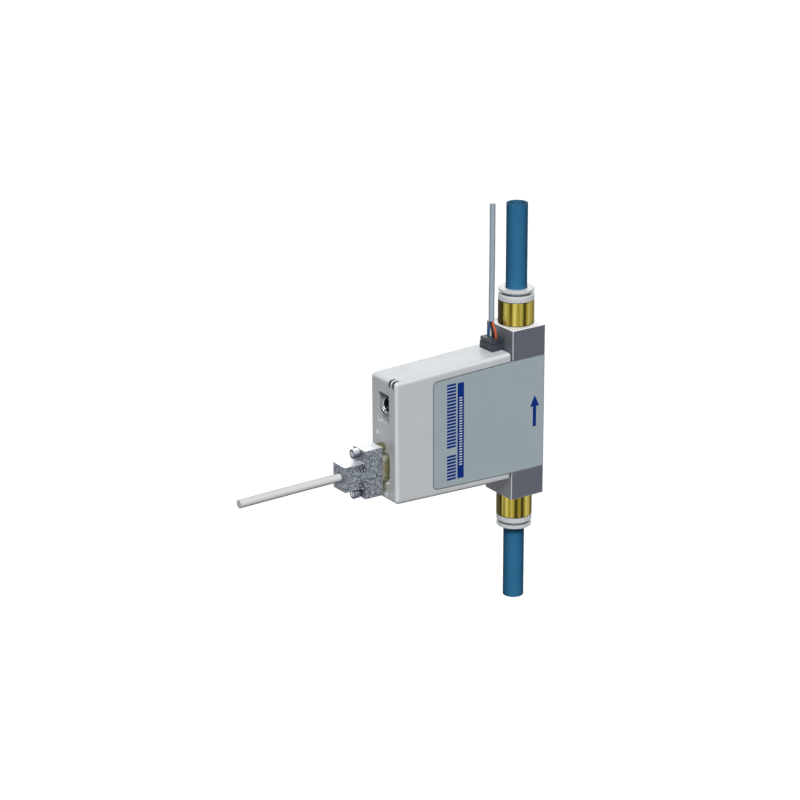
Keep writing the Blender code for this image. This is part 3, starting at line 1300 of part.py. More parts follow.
clear_scene()
PARTS = new_collection(COLLECTION_NAME)
CUTTERS = new_collection("cutters")
MATERIALS = {name: new_material(name, *look) for name, look in COLOURS.items()}
build_flow_block()
build_case_cover()
build_label()
build_case_screws()
build_socket()
build_receptacle()
build_plug()
build_hood()
build_cables()
build_top_plug()
build_chassis()
build_board()
build_flow_sensor()
build_valve()
for fitting_end, fitting_side in (("upper", 1), ("lower", -1)):
    build_fitting(fitting_end, fitting_side)
shade_parts()
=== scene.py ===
"""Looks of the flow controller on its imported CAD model: camera, light, cables, print and materials."""
import json
import math

import bmesh
import bpy
from mathutils import Matrix, Vector


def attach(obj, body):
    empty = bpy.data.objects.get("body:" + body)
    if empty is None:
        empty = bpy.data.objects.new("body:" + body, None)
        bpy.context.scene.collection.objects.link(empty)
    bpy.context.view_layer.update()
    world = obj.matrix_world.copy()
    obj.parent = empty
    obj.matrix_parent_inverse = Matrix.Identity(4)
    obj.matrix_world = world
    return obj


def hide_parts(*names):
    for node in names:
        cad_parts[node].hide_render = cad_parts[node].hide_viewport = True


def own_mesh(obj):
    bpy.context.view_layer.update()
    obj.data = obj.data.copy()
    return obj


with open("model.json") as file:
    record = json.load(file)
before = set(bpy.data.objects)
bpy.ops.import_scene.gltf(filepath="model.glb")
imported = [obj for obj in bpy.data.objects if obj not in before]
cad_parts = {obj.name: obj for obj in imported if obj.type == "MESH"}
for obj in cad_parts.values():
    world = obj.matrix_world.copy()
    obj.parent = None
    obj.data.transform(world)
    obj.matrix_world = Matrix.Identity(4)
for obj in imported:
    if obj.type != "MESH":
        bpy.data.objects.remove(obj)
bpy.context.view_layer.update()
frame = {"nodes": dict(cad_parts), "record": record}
NODES = frame["nodes"]

# Sizes repeated from the part's source, in metres
SIDE_X = 0.01325
LABEL_PROUD = 0.0001
FRONT_Y = -0.1067
POCKET_FLOOR_Y = -0.1037
CONNECTOR_Z = -0.0172
SCREW_PITCH = 0.025
SIGNAL_CABLE_DIAMETER = 0.005
SIGNAL_CABLE_ROUTE = (
    (0.0, -0.1290, -0.0172),
    (0.0, -0.1376, -0.0172),
    (0.0, -0.1600, -0.0174),
    (0.0, -0.1820, -0.0177),
    (0.0, -0.2046, -0.0181),
)
SENSOR_CABLE_DIAMETER = 0.0034
SENSOR_CABLE_ROUTE = (
    (-0.0012, -0.0290, 0.0572),
    (-0.0012, -0.0290, 0.0700),
    (-0.0011, -0.0289, 0.0850),
    (-0.0010, -0.0289, 0.1050),
    (-0.0010, -0.0289, 0.1282),
)

# The photograph's camera, from a fit to its measured points
CAMERA_AZIMUTH = math.radians(56.244)
CAMERA_ELEVATION = math.radians(19.908)
CAMERA_ROLL = math.radians(-0.384)
CAMERA_PLACE = (1.1312, -0.8566, 0.5157)
CAMERA_SENSOR = 36.0
CAMERA_LENS = 112.657
CAMERA_SHIFT = (0.01, -0.0006)
CAMERA_CLIP = (0.05, 50.0)

# Light and floor
KEY_STRENGTH = 2.63
KEY_DIRECTION = (0.577, -0.368, 0.729)
KEY_ANGLE = math.radians(20.0)
REAR_POWER = 14.0
REAR_DIRECTION = (-0.72, 0.48, 0.42)
REAR_DISTANCE = 2.4
REAR_SIZE = (2.4, 1.2)
AMBIENT = 0.10
FLOOR_BOUNCE = 0.25
FLOOR_TONE = 0.45
FLOOR_GLOW = 0.75
FLOOR_Z = -1.2
FLOOR_REACH = 12.0

# Tones, as shares of linear red, green and blue
BLACK = (0.0, 0.0, 0.0)
CASE_GREYS = ((0.670, 0.705, 0.730), (0.710, 0.745, 0.770))
# Painted shade for the inside of the case's pocket
CASE_POCKET_SHADE = (0.200, 0.225, 0.270)
# Painted highlight on the case's edge roundings
CASE_EDGE_HIGHLIGHT = (0.960, 0.970, 0.980)
# Painted shade on the case's lower edge roundings
CASE_LOWER_EDGE_SHADE = (0.110, 0.115, 0.120)
BLOCK_GREYS = ((0.092, 0.102, 0.136), (0.104, 0.114, 0.150))
BLOCK_FLECK = (0.142, 0.154, 0.190)
# Painted light on the block's front face
BLOCK_FRONT_LIGHT = (0.210, 0.215, 0.235)
# Painted highlight, near white, on the block's top and bottom faces
BLOCK_END_HIGHLIGHTS = ((0.880, 0.900, 0.940), (0.950, 0.965, 0.990))
# Painted highlight on the block's chamfers
BLOCK_CHAMFER_HIGHLIGHT = (0.480, 0.490, 0.580)
HOOD_GREYS = ((0.008, 0.016, 0.032), (0.370, 0.405, 0.460))
HOOD_FLECK = (0.400, 0.430, 0.470)
# Painted highlight on the hood's top faces
HOOD_TOP_HIGHLIGHTS = ((0.760, 0.785, 0.815), (0.920, 0.935, 0.955))
CHROMATE_OLIVES = ((0.380, 0.362, 0.225), (0.690, 0.660, 0.470))
# Painted highlight on chromate faces that look up
CHROMATE_TOP_HIGHLIGHT = (0.930, 0.900, 0.760)
TUBE_BLUES = ((0.072, 0.300, 0.545), (0.086, 0.345, 0.625))
TUBE_LINE = (0.055, 0.240, 0.455)
TUBE_GLAZE = (0.52, 0.62, 0.66)
# Painted shade and highlight on the socket's thread, and painted black shade deeper in it
THREAD_VALLEY_SHADE = (0.035, 0.045, 0.070)
THREAD_CREST_HIGHLIGHT = (0.760, 0.785, 0.820)
THREAD_DEPTH_SHADE = (0.020, 0.024, 0.034)
# Painted shade and highlight on the thumbscrews
THUMBSCREW_SIDE_SHADES = ((0.028, 0.036, 0.062), (0.185, 0.210, 0.275))
THUMBSCREW_TOP_HIGHLIGHT = (0.760, 0.780, 0.820)
THUMBSCREW_FACE = (0.620, 0.645, 0.690)
THUMBSCREW_RIM_SHADE = (0.018, 0.022, 0.034)
WHITE_JACKET_WHITES = ((0.910, 0.910, 0.910), (0.965, 0.965, 0.965))
# Painted shade on the white cable's underside
WHITE_JACKET_UNDERSIDE_SHADE = (0.220, 0.220, 0.225)
WHITE_JACKET_GLAZE = (0.87, 0.87, 0.88)
GREY_JACKET_GLAZE = (0.80, 0.81, 0.82)
LABEL_GREYS = ((0.424, 0.505, 0.548), (0.444, 0.525, 0.568))
LABEL_FLECK = (0.485, 0.567, 0.610)
# Painted reflection bands on the brass, from dark through olive and gold to bright
BRASS_DARK_REFLECTION = (0.040, 0.035, 0.011)
BRASS_OLIVE_REFLECTION = (0.240, 0.184, 0.027)
BRASS_GOLD = (0.550, 0.430, 0.056)
BRASS_BRIGHT_REFLECTION = (0.970, 0.840, 0.240)
BRASS_GLAZE = (0.62, 0.61, 0.55)

# Texture and finish, and the shares and sizes of painted light and shade
MOULD_GRAIN_SCALE = 3500.0
MOULD_GRAIN_DEPTH = 0.00003
TURNED_LINE_SCALE = 9000.0
HOOD_CELL_SCALE = 1300.0
THREAD_PITCH = 0.0008
KNURL_PITCH = 0.0006
THUMBSCREW_FACE_RADIUS = 0.0017
THREAD_VISIBLE_DEPTH = 0.0003
GLAZE_ROUGHNESS = 0.35
GLAZE_IOR = 1.02
SOFT_EDGE_RADIUS = 0.0003
FLAT_FACING = 0.985
ROUND_FACING = 0.80
FRONT_FACING = -0.95
UP_FACING = 0.8
END_FACING = 0.6
# Shares of painted shade on the case's front and in its pocket, of painted highlight on its edges, and
# the box of the pocket's painted shade
CASE_FRONT_SHADE = 0.16
CASE_POCKET_SHADE_SHARE = 0.45
CASE_EDGE_HIGHLIGHT_SHARE = 0.55
CASE_POCKET_BOX = ((-0.0060, FRONT_Y + 0.0004, 0.0090), (0.0064, -0.1030, 0.0290))
RINGS_ALONG_Y = (0.02, 1.0, 0.02)
RINGS_ALONG_Z = (0.02, 0.02, 1.0)
LINES_ALONG_Y = (1.0, 0.02, 1.0)
MILLING_ALONG_Z = (1.0, 1.0, 0.03)
EXTRUSION_ALONG_Z = (1.0, 1.0, 0.01)
# Stretch and sizes of the painted reflection bands on the brass
REFLECTIONS_ALONG_Z = (1.0, 1.0, 0.01)
BROAD_REFLECTION_SCALE = 120.0
NARROW_REFLECTION_SCALE = 330.0

# Print on the label
PRINT_LOW_X = SIDE_X + LABEL_PROUD
PRINT_THICKNESS = 0.00003
# Painted shade line along the label's edge
RIM_INSET = 0.00005
RIM_WIDTH = 0.00025
SAME_PLACE = 1e-6
SCALE_CELLS = 15
SCALE_EMPTY_CELL = 4
SCALE_HEIGHT = 0.0605
SCALE_BOTTOM = -0.0302
SCALE_Y = (-0.0711, -0.0647)
STROKE_STARTS = (0.0001, 0.0021)
STROKE_HEIGHT = 0.0013
BAR_Y = (-0.0636, -0.0590)
BAR_Z = (-0.0303, 0.0293)
DASH_Y = (-0.0623, -0.0602)
DASH_COUNT = 27
DASH_BOTTOM = -0.0220
DASH_PITCH = 0.0016
DASH_HEIGHT = 0.0007
ARROW_OUTLINE = (
    (-0.0086, -0.0093), (-0.0061, -0.0093), (-0.0061, 0.0035), (-0.0040, 0.0035),
    (-0.00735, 0.0105), (-0.0107, 0.0035), (-0.0086, 0.0035),
)

CORD_BEVEL_STEPS = 7


# Camera and light

def add_camera():
    """The photograph's own camera."""
    sine, cosine = math.sin(CAMERA_AZIMUTH), math.cos(CAMERA_AZIMUTH)
    forward = Vector((-sine * math.cos(CAMERA_ELEVATION), cosine * math.cos(CAMERA_ELEVATION),
                      -math.sin(CAMERA_ELEVATION)))
    level = Vector((cosine, sine, 0.0))
    upward = level.cross(forward)
    right = level * math.cos(CAMERA_ROLL) + upward * math.sin(CAMERA_ROLL)
    up = upward * math.cos(CAMERA_ROLL) - level * math.sin(CAMERA_ROLL)
    data = bpy.data.cameras.new("camera")
    data.sensor_width = CAMERA_SENSOR
    data.lens = CAMERA_LENS
    data.shift_x, data.shift_y = CAMERA_SHIFT
    data.clip_start, data.clip_end = CAMERA_CLIP
    camera = bpy.data.objects.new("camera", data)
    camera.matrix_world = Matrix((
        (right.x, up.x, -forward.x, CAMERA_PLACE[0]),
        (right.y, up.y, -forward.y, CAMERA_PLACE[1]),
        (right.z, up.z, -forward.z, CAMERA_PLACE[2]),
        (0.0, 0.0, 0.0, 1.0),
    ))
    bpy.context.scene.collection.objects.link(camera)
    bpy.context.scene.camera = camera


def add_lamp(name, kind, energy, direction, distance=0.0, size=None, angle=None):
    """A lamp that shines on the object from the direction given."""
    data = bpy.data.lights.new(name, kind)
    data.energy = energy
    if size is not None:
        data.shape = "RECTANGLE"
        data.size, data.size_y = size
    if angle is not None:
        data.angle = angle
    lamp = bpy.data.objects.new(name, data)
    toward = Vector(direction).normalized()
    lamp.location = toward * distance
    lamp.rotation_euler = toward.to_track_quat("Z", "Y").to_euler()
    lamp.visible_camera = False
    bpy.context.scene.collection.objects.link(lamp)


def seen_or_mirrored(tree):
    """1 where the camera, a reflection or a clear material looks, and 0 for plain light."""
    path = tree.nodes.new("ShaderNodeLightPath")
    total = path.outputs["Is Camera Ray"]
    for output in ("Is Glossy Ray", "Is Transmission Ray"):
        larger = tree.nodes.new("ShaderNodeMath")
        larger.operation = "MAXIMUM"
        tree.links.new(total, larger.inputs[0])
        tree.links.new(path.outputs[output], larger.inputs[1])
        total = larger.outputs[0]
    return total


def add_world():
    """A white surround to the eye, and a faint one for the light on the part."""
    world = bpy.data.worlds.new("studio")
    world.use_nodes = True
    bpy.context.scene.world = world
    tree = world.node_tree
    background = tree.nodes["Background"]
    background.inputs["Color"].default_value = (1.0, 1.0, 1.0, 1.0)
    strength = tree.nodes.new("ShaderNodeMapRange")
    strength.inputs["To Min"].default_value = AMBIENT
    strength.inputs["To Max"].default_value = 1.0
    tree.links.new(seen_or_mirrored(tree), strength.inputs["Value"])
    tree.links.new(strength.outputs["Result"], background.inputs["Strength"])


def mesh_from(name, bm):
    """A new mesh with the faces of the bmesh, which is freed."""
    mesh = bpy.data.meshes.new(name)
    bm.to_mesh(mesh)
    bm.free()
    return mesh


def add_floor():
    """A plain pale floor well below the part, white to the eye and still taking its shadow."""
    bm = bmesh.new()
    bmesh.ops.create_grid(bm, x_segments=1, y_segments=1, size=FLOOR_REACH)
    mesh = mesh_from("floor", bm)
    floor = bpy.data.objects.new("floor", mesh)
    floor.location = (0.0, 0.0, FLOOR_Z)
    bpy.context.scene.collection.objects.link(floor)
    material = bpy.data.materials.new("floor_white")
    material.use_nodes = True
    tree = material.node_tree
    tree.nodes.remove(tree.nodes["Principled BSDF"])
    bounce = tree.nodes.new("ShaderNodeBsdfDiffuse")
    bounce.inputs["Color"].default_value = (FLOOR_BOUNCE, FLOOR_BOUNCE, FLOOR_BOUNCE, 1.0)
    shadowed = tree.nodes.new("ShaderNodeBsdfDiffuse")
    shadowed.inputs["Color"].default_value = (FLOOR_TONE, FLOOR_TONE, FLOOR_TONE, 1.0)
    glow = tree.nodes.new("ShaderNodeEmission")
    glow.inputs["Strength"].default_value = FLOOR_GLOW
    seen = tree.nodes.new("ShaderNodeAddShader")
    tree.links.new(shadowed.outputs[0], seen.inputs[0])
    tree.links.new(glow.outputs[0], seen.inputs[1])
    mix = tree.nodes.new("ShaderNodeMixShader")
    tree.links.new(seen_or_mirrored(tree), mix.inputs["Fac"])
    tree.links.new(bounce.outputs[0], mix.inputs[1])
    tree.links.new(seen.outputs[0], mix.inputs[2])
    tree.links.new(mix.outputs[0], tree.nodes["Material Output"].inputs["Surface"])
    mesh.materials.append(material)


bpy.context.scene.view_settings.view_transform = "Standard"
add_camera()
add_world()
add_floor()
add_lamp("key", "SUN", KEY_STRENGTH, KEY_DIRECTION, angle=KEY_ANGLE)
add_lamp("rear_panel", "AREA", REAR_POWER, REAR_DIRECTION, distance=REAR_DISTANCE, size=REAR_SIZE)


# Materials

class Look:
    """One material's node tree, in the object's own coordinates, which are metres."""

    def __init__(self, name, roughness, metallic=0.0, specular=0.5):
        self.material = bpy.data.materials.new(name)
        self.material.use_nodes = True
        self.tree = self.material.node_tree
        self.shader = self.tree.nodes["Principled BSDF"]
        self.shader.inputs["Roughness"].default_value = roughness
        self.shader.inputs["Metallic"].default_value = metallic
        self.shader.inputs["Specular IOR Level"].default_value = specular
        self.place = self.add("ShaderNodeTexCoord").outputs["Object"]

    def add(self, kind, inputs=None, **settings):
        node = self.tree.nodes.new(kind)
        for name, value in settings.items():
            setattr(node, name, value)
        for name, value in (inputs or {}).items():
            if isinstance(value, bpy.types.NodeSocket):
                self.tree.links.new(value, node.inputs[name])
            else:
                node.inputs[name].default_value = value
        return node

    def set(self, name, value):
        self.tree.links.new(value, self.shader.inputs[name])

    def noise(self, scale, detail=3.0, stretch=(1.0, 1.0, 1.0)):
        place = self.place
        if stretch != (1.0, 1.0, 1.0):
            place = self.add("ShaderNodeVectorMath", {0: place, 1: stretch},
                             operation="MULTIPLY").outputs[0]
        return self.add("ShaderNodeTexNoise", {"Vector": place, "Scale": scale,
                                               "Detail": detail}).outputs["Fac"]

    def spread(self, value, low, high, start=0.3, end=0.7):
        return self.add("ShaderNodeMapRange", {"Value": value, "From Min": start,
                                               "From Max": end, "To Min": low,
                                               "To Max": high}).outputs["Result"]

    def blend(self, share, first, second):
        return self.add("ShaderNodeMix", {"Factor": share, 6: colour(first),
                                          7: colour(second)},
                        data_type="RGBA").outputs[2]

    def maths(self, operation, first, second=0.0):
        return self.add("ShaderNodeMath", {0: first, 1: second},
                        operation=operation).outputs[0]

    def bump(self, height, distance, strength=1.0, normal=None):
        inputs = {"Height": height, "Distance": distance, "Strength": strength}
        if normal is not None:
            inputs["Normal"] = normal
        return self.add("ShaderNodeBump", inputs).outputs["Normal"]

    def facing(self, axis):
        """How far the surface faces along one axis, from -1 to 1."""
        normal = self.add("ShaderNodeNewGeometry").outputs["True Normal"]
        return self.add("ShaderNodeSeparateXYZ", {0: normal}).outputs[axis]

    def facing_up(self, least, both=False):
        """1 where the surface faces up, or up or down, and 0 elsewhere."""
        upward = self.facing("Z")
        if both:
            upward = self.maths("ABSOLUTE", upward)
        return self.maths("GREATER_THAN", upward, least)

    def rounding(self):
        """1 on the edges' roundings and chamfers, and 0 on faces square to an axis."""
        widest = self.maths("ABSOLUTE", self.facing("X"))
        for axis in "YZ":
            widest = self.maths("MAXIMUM", widest, self.maths("ABSOLUTE", self.facing(axis)))
        return self.spread(widest, 1.0, 0.0, ROUND_FACING, FLAT_FACING)

    def within(self, lowest, highest):
        """1 inside a box of the object's own coordinates, and 0 outside it."""
        parts = self.add("ShaderNodeSeparateXYZ", {0: self.place})
        share = None
        for axis, low, high in zip("XYZ", lowest, highest):
            for operation, limit in (("GREATER_THAN", low), ("LESS_THAN", high)):
                inside = self.maths(operation, parts.outputs[axis], limit)
                share = inside if share is None else self.maths("MULTIPLY", share, inside)
        return share

    def glaze(self, tint):
        """A thin tinted coat, which deepens the tone toward the outline."""
        self.shader.inputs["Coat Weight"].default_value = 1.0
        self.shader.inputs["Coat Roughness"].default_value = GLAZE_ROUGHNESS
        self.shader.inputs["Coat IOR"].default_value = GLAZE_IOR
        self.shader.inputs["Coat Tint"].default_value = (*tint, 1.0)

    def soft_edges(self):
        """The normal with the edges rounded off a little."""
        return self.add("ShaderNodeBevel", {"Radius": SOFT_EDGE_RADIUS},
                        samples=4).outputs["Normal"]


def colour(value):
    if isinstance(value, bpy.types.NodeSocket):
        return value
    return (*value, 1.0)


def shade(value, factor):
    return tuple(channel * factor for channel in value)


def moulded(name, tone, roughness, variation=0.03, specular=0.4, glaze=None):
    """Moulded plastic: a fine even texture, and slow changes of tone and gloss."""
    look = Look(name, roughness, specular=specular)
    if glaze is not None:
        look.glaze(glaze)
    cloud = look.noise(60.0)
    look.set("Base Color", look.blend(look.spread(cloud, 0.0, 1.0),
                                      shade(tone, 1.0 - variation),
                                      shade(tone, 1.0 + variation)))
    look.set("Roughness", look.spread(look.noise(220.0), roughness - 0.04, roughness + 0.05))
    look.set("Normal", look.bump(look.noise(MOULD_GRAIN_SCALE, 2.0), MOULD_GRAIN_DEPTH))
    return look.material


def turned_metal(name, tone, roughness, variation=0.12):
    """Metal turned about Y: fine rings, and slightly cloudy gloss."""
    look = Look(name, roughness, metallic=1.0)
    lines = look.noise(TURNED_LINE_SCALE, 2.0, RINGS_ALONG_Y)
    cloud = look.noise(500.0)
    look.set("Base Color", look.blend(look.spread(cloud, 0.0, 1.0),
                                      shade(tone, 1.0 - variation), tone))
    look.set("Roughness", look.spread(lines, roughness - 0.06, roughness + 0.08))
    look.set("Normal", look.bump(lines, 0.00001))
    return look.material


def case_look():
    """Moulded case, with painted highlights on its edge roundings, painted shade on its front faces and
    in its pocket, and painted shade on its lower edge roundings.
    """
    look = Look("case_plastic", 0.40, specular=0.4)
    tone = look.blend(look.spread(look.noise(60.0), 0.0, 1.0), *CASE_GREYS)
    # Painted shade: the front faces are blended toward black.
    front = look.maths("LESS_THAN", look.facing("Y"), FRONT_FACING)
    tone = look.blend(look.maths("MULTIPLY", front, CASE_FRONT_SHADE), tone, BLACK)
    # Painted shade: the inside of the pocket is blended toward a dark blue-grey.
    pocket = look.within(*CASE_POCKET_BOX)
    tone = look.blend(look.maths("MULTIPLY", pocket, CASE_POCKET_SHADE_SHARE), tone, CASE_POCKET_SHADE)
    # Painted highlight: the edge roundings are blended toward near white.
    edge = look.rounding()
    tone = look.blend(look.maths("MULTIPLY", edge, CASE_EDGE_HIGHLIGHT_SHARE), tone, CASE_EDGE_HIGHLIGHT)
    # Painted shade: the roundings that face down are blended toward near black.
    below = look.spread(look.facing("Z"), 1.0, 0.0, -0.60, -0.15)
    tone = look.blend(look.maths("MULTIPLY", edge, below), tone, CASE_LOWER_EDGE_SHADE)
    look.set("Base Color", tone)
    look.set("Roughness", look.spread(look.noise(220.0), 0.36, 0.45))
    look.set("Normal", look.bump(look.noise(MOULD_GRAIN_SCALE, 2.0), MOULD_GRAIN_DEPTH))
    return look.material


def block_look():
    """Dark anodised metal with fine milling lines, painted light on its front face, and painted
    highlights on its top and bottom faces and on its chamfers.
    """
    look = Look("block_dark", 0.34)
    cloud = look.noise(150.0)
    fine = look.noise(1300.0, 2.0)
    tone = look.blend(look.spread(cloud, 0.0, 1.0), *BLOCK_GREYS)
    side = look.blend(look.spread(fine, 0.0, 0.45), tone, BLOCK_FLECK)
    # Painted light: the front face is blended toward a lighter grey.
    front = look.maths("LESS_THAN", look.facing("Y"), FRONT_FACING)
    side = look.blend(look.maths("MULTIPLY", front, 0.6), side, BLOCK_FRONT_LIGHT)
    # Painted highlight: near white on the faces that look up or down.
    ends = look.blend(look.spread(fine, 0.0, 1.0), *BLOCK_END_HIGHLIGHTS)
    is_end = look.facing_up(END_FACING, both=True)
    # Painted highlight: a pale tone on the chamfers and roundings.
    is_edge = look.maths("MULTIPLY", look.rounding(), look.maths("SUBTRACT", 1.0, is_end))
    tone = look.blend(is_end, look.blend(is_edge, side, BLOCK_CHAMFER_HIGHLIGHT), ends)
    look.set("Base Color", tone)
    bright = look.maths("MAXIMUM", look.maths("MULTIPLY", is_end, 0.25), is_edge)
    look.set("Metallic", look.maths("MAXIMUM", bright, 0.15))
    gloss = look.spread(look.noise(900.0), 0.34, 0.48)
    look.set("Roughness", look.maths("ADD", gloss, look.maths("MULTIPLY", is_end, 0.25)))
    milling = look.noise(5200.0, 2.0, MILLING_ALONG_Z)
    look.set("Normal", look.bump(milling, 0.000006, normal=look.soft_edges()))
    return look.material


def hood_look():
    """Blasted zinc: a grain of bright and dark cells, with a painted highlight on its top faces."""
    look = Look("hood_blasted", 0.5, metallic=0.6)
    cells = look.add("ShaderNodeTexVoronoi", {"Vector": look.place, "Scale": HOOD_CELL_SCALE})
    grain = look.add("ShaderNodeSeparateColor", {0: cells.outputs["Color"]}).outputs[0]
    fine = look.noise(2300.0, 2.0)
    tone = look.blend(grain, *HOOD_GREYS)
    side = look.blend(look.spread(fine, 0.0, 0.5, 0.45, 0.65), tone, HOOD_FLECK)
    # Painted highlight: pale tones on the faces that look up.
    top = look.blend(grain, *HOOD_TOP_HIGHLIGHTS)
    look.set("Base Color", look.blend(look.facing_up(UP_FACING), side, top))
    look.set("Roughness", look.spread(fine, 0.38, 0.62))
    look.set("Normal", look.bump(grain, 0.00004, 0.7, look.soft_edges()))
    return look.material


def chromate_look():
    """Yellow chromate on steel: olive and cloudy, with a painted highlight where it faces up."""
    look = Look("chromate_metal", 0.30, metallic=1.0)
    cloud = look.noise(700.0)
    side = look.blend(look.spread(cloud, 0.0, 1.0), *CHROMATE_OLIVES)
    # Painted highlight: a cream tone where the surface faces up.
    upward = look.spread(look.facing("Z"), 0.0, 1.0, 0.05, 0.45)
    look.set("Base Color", look.blend(upward, side, CHROMATE_TOP_HIGHLIGHT))
    look.set("Roughness", look.spread(look.noise(500.0), 0.24, 0.38))
    look.set("Normal", look.bump(look.noise(6000.0, 2.0, LINES_ALONG_Y), 0.00001))
    return look.material


def brass_look(name):
    """Polished turned brass: long random bands of painted reflection, fine rings, and deeper toward its
    outline.
    """
    look = Look(name, 0.22, metallic=1.0)
    look.glaze(BRASS_GLAZE)
    # Painted reflections: long random bands of dark, olive, gold and bright tone.
    broad_reflections = look.noise(BROAD_REFLECTION_SCALE, 0.0, REFLECTIONS_ALONG_Z)
    narrow_reflections = look.noise(NARROW_REFLECTION_SCALE, 0.0, REFLECTIONS_ALONG_Z)
    tone = look.blend(look.spread(broad_reflections, 0.0, 1.0, 0.38, 0.56), BRASS_OLIVE_REFLECTION, BRASS_GOLD)
    tone = look.blend(look.spread(narrow_reflections, 0.0, 1.0, 0.54, 0.68), tone, BRASS_BRIGHT_REFLECTION)
    tone = look.blend(look.spread(narrow_reflections, 0.9, 0.0, 0.34, 0.46), tone, BRASS_DARK_REFLECTION)
    lines = look.noise(7000.0, 2.0, RINGS_ALONG_Z)
    look.set("Base Color", tone)
    look.set("Roughness", look.spread(lines, 0.16, 0.30))
    look.set("Normal", look.bump(lines, 0.000008))
    return look.material


def tube_look():
    """Extruded tube: long faint lines and a soft sheen."""
    look = Look("tube_blue", 0.45, specular=0.08)
    look.glaze(TUBE_GLAZE)
    lines = look.noise(2600.0, 2.0, EXTRUSION_ALONG_Z)
    cloud = look.noise(90.0)
    tone = look.blend(look.spread(cloud, 0.0, 1.0), *TUBE_BLUES)
    look.set("Base Color", look.blend(look.spread(lines, 0.0, 0.3), tone, TUBE_LINE))
    look.set("Roughness", look.spread(look.noise(300.0), 0.34, 0.46))
    look.set("Normal", look.bump(lines, 0.00002))
    return look.material


def thread_look():
    """Plated thread: painted shade in its valleys and painted highlights on its crests along Y, and
    painted black shade deeper in.
    """
    look = Look("socket_thread", 0.22, metallic=1.0)
    depth = look.add("ShaderNodeSeparateXYZ", {0: look.place}).outputs["Y"]
    turns = look.maths("SINE", look.maths("MULTIPLY", depth, 2 * math.pi / THREAD_PITCH))
    turns = look.maths("ADD", turns, look.spread(look.noise(900.0), -0.4, 0.4))
    # Painted shade in the valleys and painted highlight on the crests.
    tone = look.blend(look.spread(turns, 0.0, 1.0, -0.5, 0.6), THREAD_VALLEY_SHADE, THREAD_CREST_HIGHLIGHT)
    # Painted shade: black beyond a little depth into the bore.
    deep = look.maths("GREATER_THAN", depth, POCKET_FLOOR_Y + THREAD_VISIBLE_DEPTH)
    look.set("Base Color", look.blend(deep, tone, THREAD_DEPTH_SHADE))
    look.set("Normal", look.bump(turns, 0.00008))
    return look.material


def screw_look(name, tone, glint, share):
    """Dark plated steel with small bright spots of painted highlight, as glints."""
    look = Look(name, 0.32, metallic=0.9)
    # Painted highlight: small bright glint spots.
    glint_spots = look.spread(look.noise(1500.0, 2.0), 0.0, 1.0, share, share + 0.08)
    look.set("Base Color", look.blend(glint_spots, tone, glint))
    look.set("Roughness", look.spread(look.noise(600.0), 0.26, 0.42))
    look.set("Normal", look.bump(look.noise(2600.0, 2.0), 0.00003, 0.8))
    return look.material


def thumbscrew_look():
    """Knurled steel with a painted highlight on top, painted shade at the sides, and a painted shade
    ring around the rim of its end face.
    """
    look = Look("thumbscrew_steel", 0.28, metallic=1.0)
    parts = look.add("ShaderNodeSeparateXYZ", {0: look.place})
    knurl = look.maths("SINE", look.maths("MULTIPLY", parts.outputs["Z"],
                                          2 * math.pi / KNURL_PITCH))
    # Painted highlight on top, painted shade at the sides.
    upward = look.spread(look.facing("Z"), 0.0, 1.0, 0.1, 0.6)
    side = look.blend(look.spread(look.noise(1300.0), 0.0, 1.0), *THUMBSCREW_SIDE_SHADES)
    tone = look.blend(upward, side, THUMBSCREW_TOP_HIGHLIGHT)
    rise = look.maths("ABSOLUTE", look.maths("SUBTRACT", parts.outputs["Z"], CONNECTOR_Z))
    rise = look.maths("SUBTRACT", rise, SCREW_PITCH / 2)
    off_axis = look.maths("SQRT", look.maths(
        "ADD", look.maths("POWER", rise, 2.0), look.maths("POWER", parts.outputs["X"], 2.0)))
    # Painted shade: a dark ring around the rim of the end face.
    end = look.maths("LESS_THAN", look.facing("Y"), -0.9)
    face = look.blend(look.maths("GREATER_THAN", off_axis, THUMBSCREW_FACE_RADIUS),
                      THUMBSCREW_FACE, THUMBSCREW_RIM_SHADE)
    look.set("Base Color", look.blend(end, tone, face))
    look.set("Normal", look.bump(knurl, 0.00006))
    return look.material


def white_jacket_look():
    """White cable jacket: extruded lines and painted shade on its underside."""
    look = Look("white_jacket", 0.45, specular=0.4)
    look.glaze(WHITE_JACKET_GLAZE)
    tone = look.blend(look.spread(look.noise(300.0), 0.0, 1.0), *WHITE_JACKET_WHITES)
    # Painted shade: the faces that look down are blended toward dark grey.
    below = look.spread(look.facing("Z"), 1.0, 0.0, -0.85, -0.20)
    look.set("Base Color", look.blend(look.maths("MULTIPLY", below, 0.75), tone,
                                      WHITE_JACKET_UNDERSIDE_SHADE))
    look.set("Roughness", look.spread(look.noise(700.0), 0.40, 0.52))
    look.set("Normal", look.bump(look.noise(2600.0, 2.0, LINES_ALONG_Y), 0.00003))
    return look.material


def label_look():
    """Printed film: a faint satin grain."""
    look = Look("label_film", 0.46, specular=0.35)
    grain = look.noise(4200.0, 2.0)
    cloud = look.noise(40.0)
    tone = look.blend(look.spread(cloud, 0.0, 1.0), *LABEL_GREYS)
    look.set("Base Color", look.blend(look.spread(grain, 0.0, 0.25), tone, LABEL_FLECK))
    look.set("Roughness", look.spread(grain, 0.40, 0.54))
    look.set("Normal", look.bump(grain, 0.000015))
    return look.material


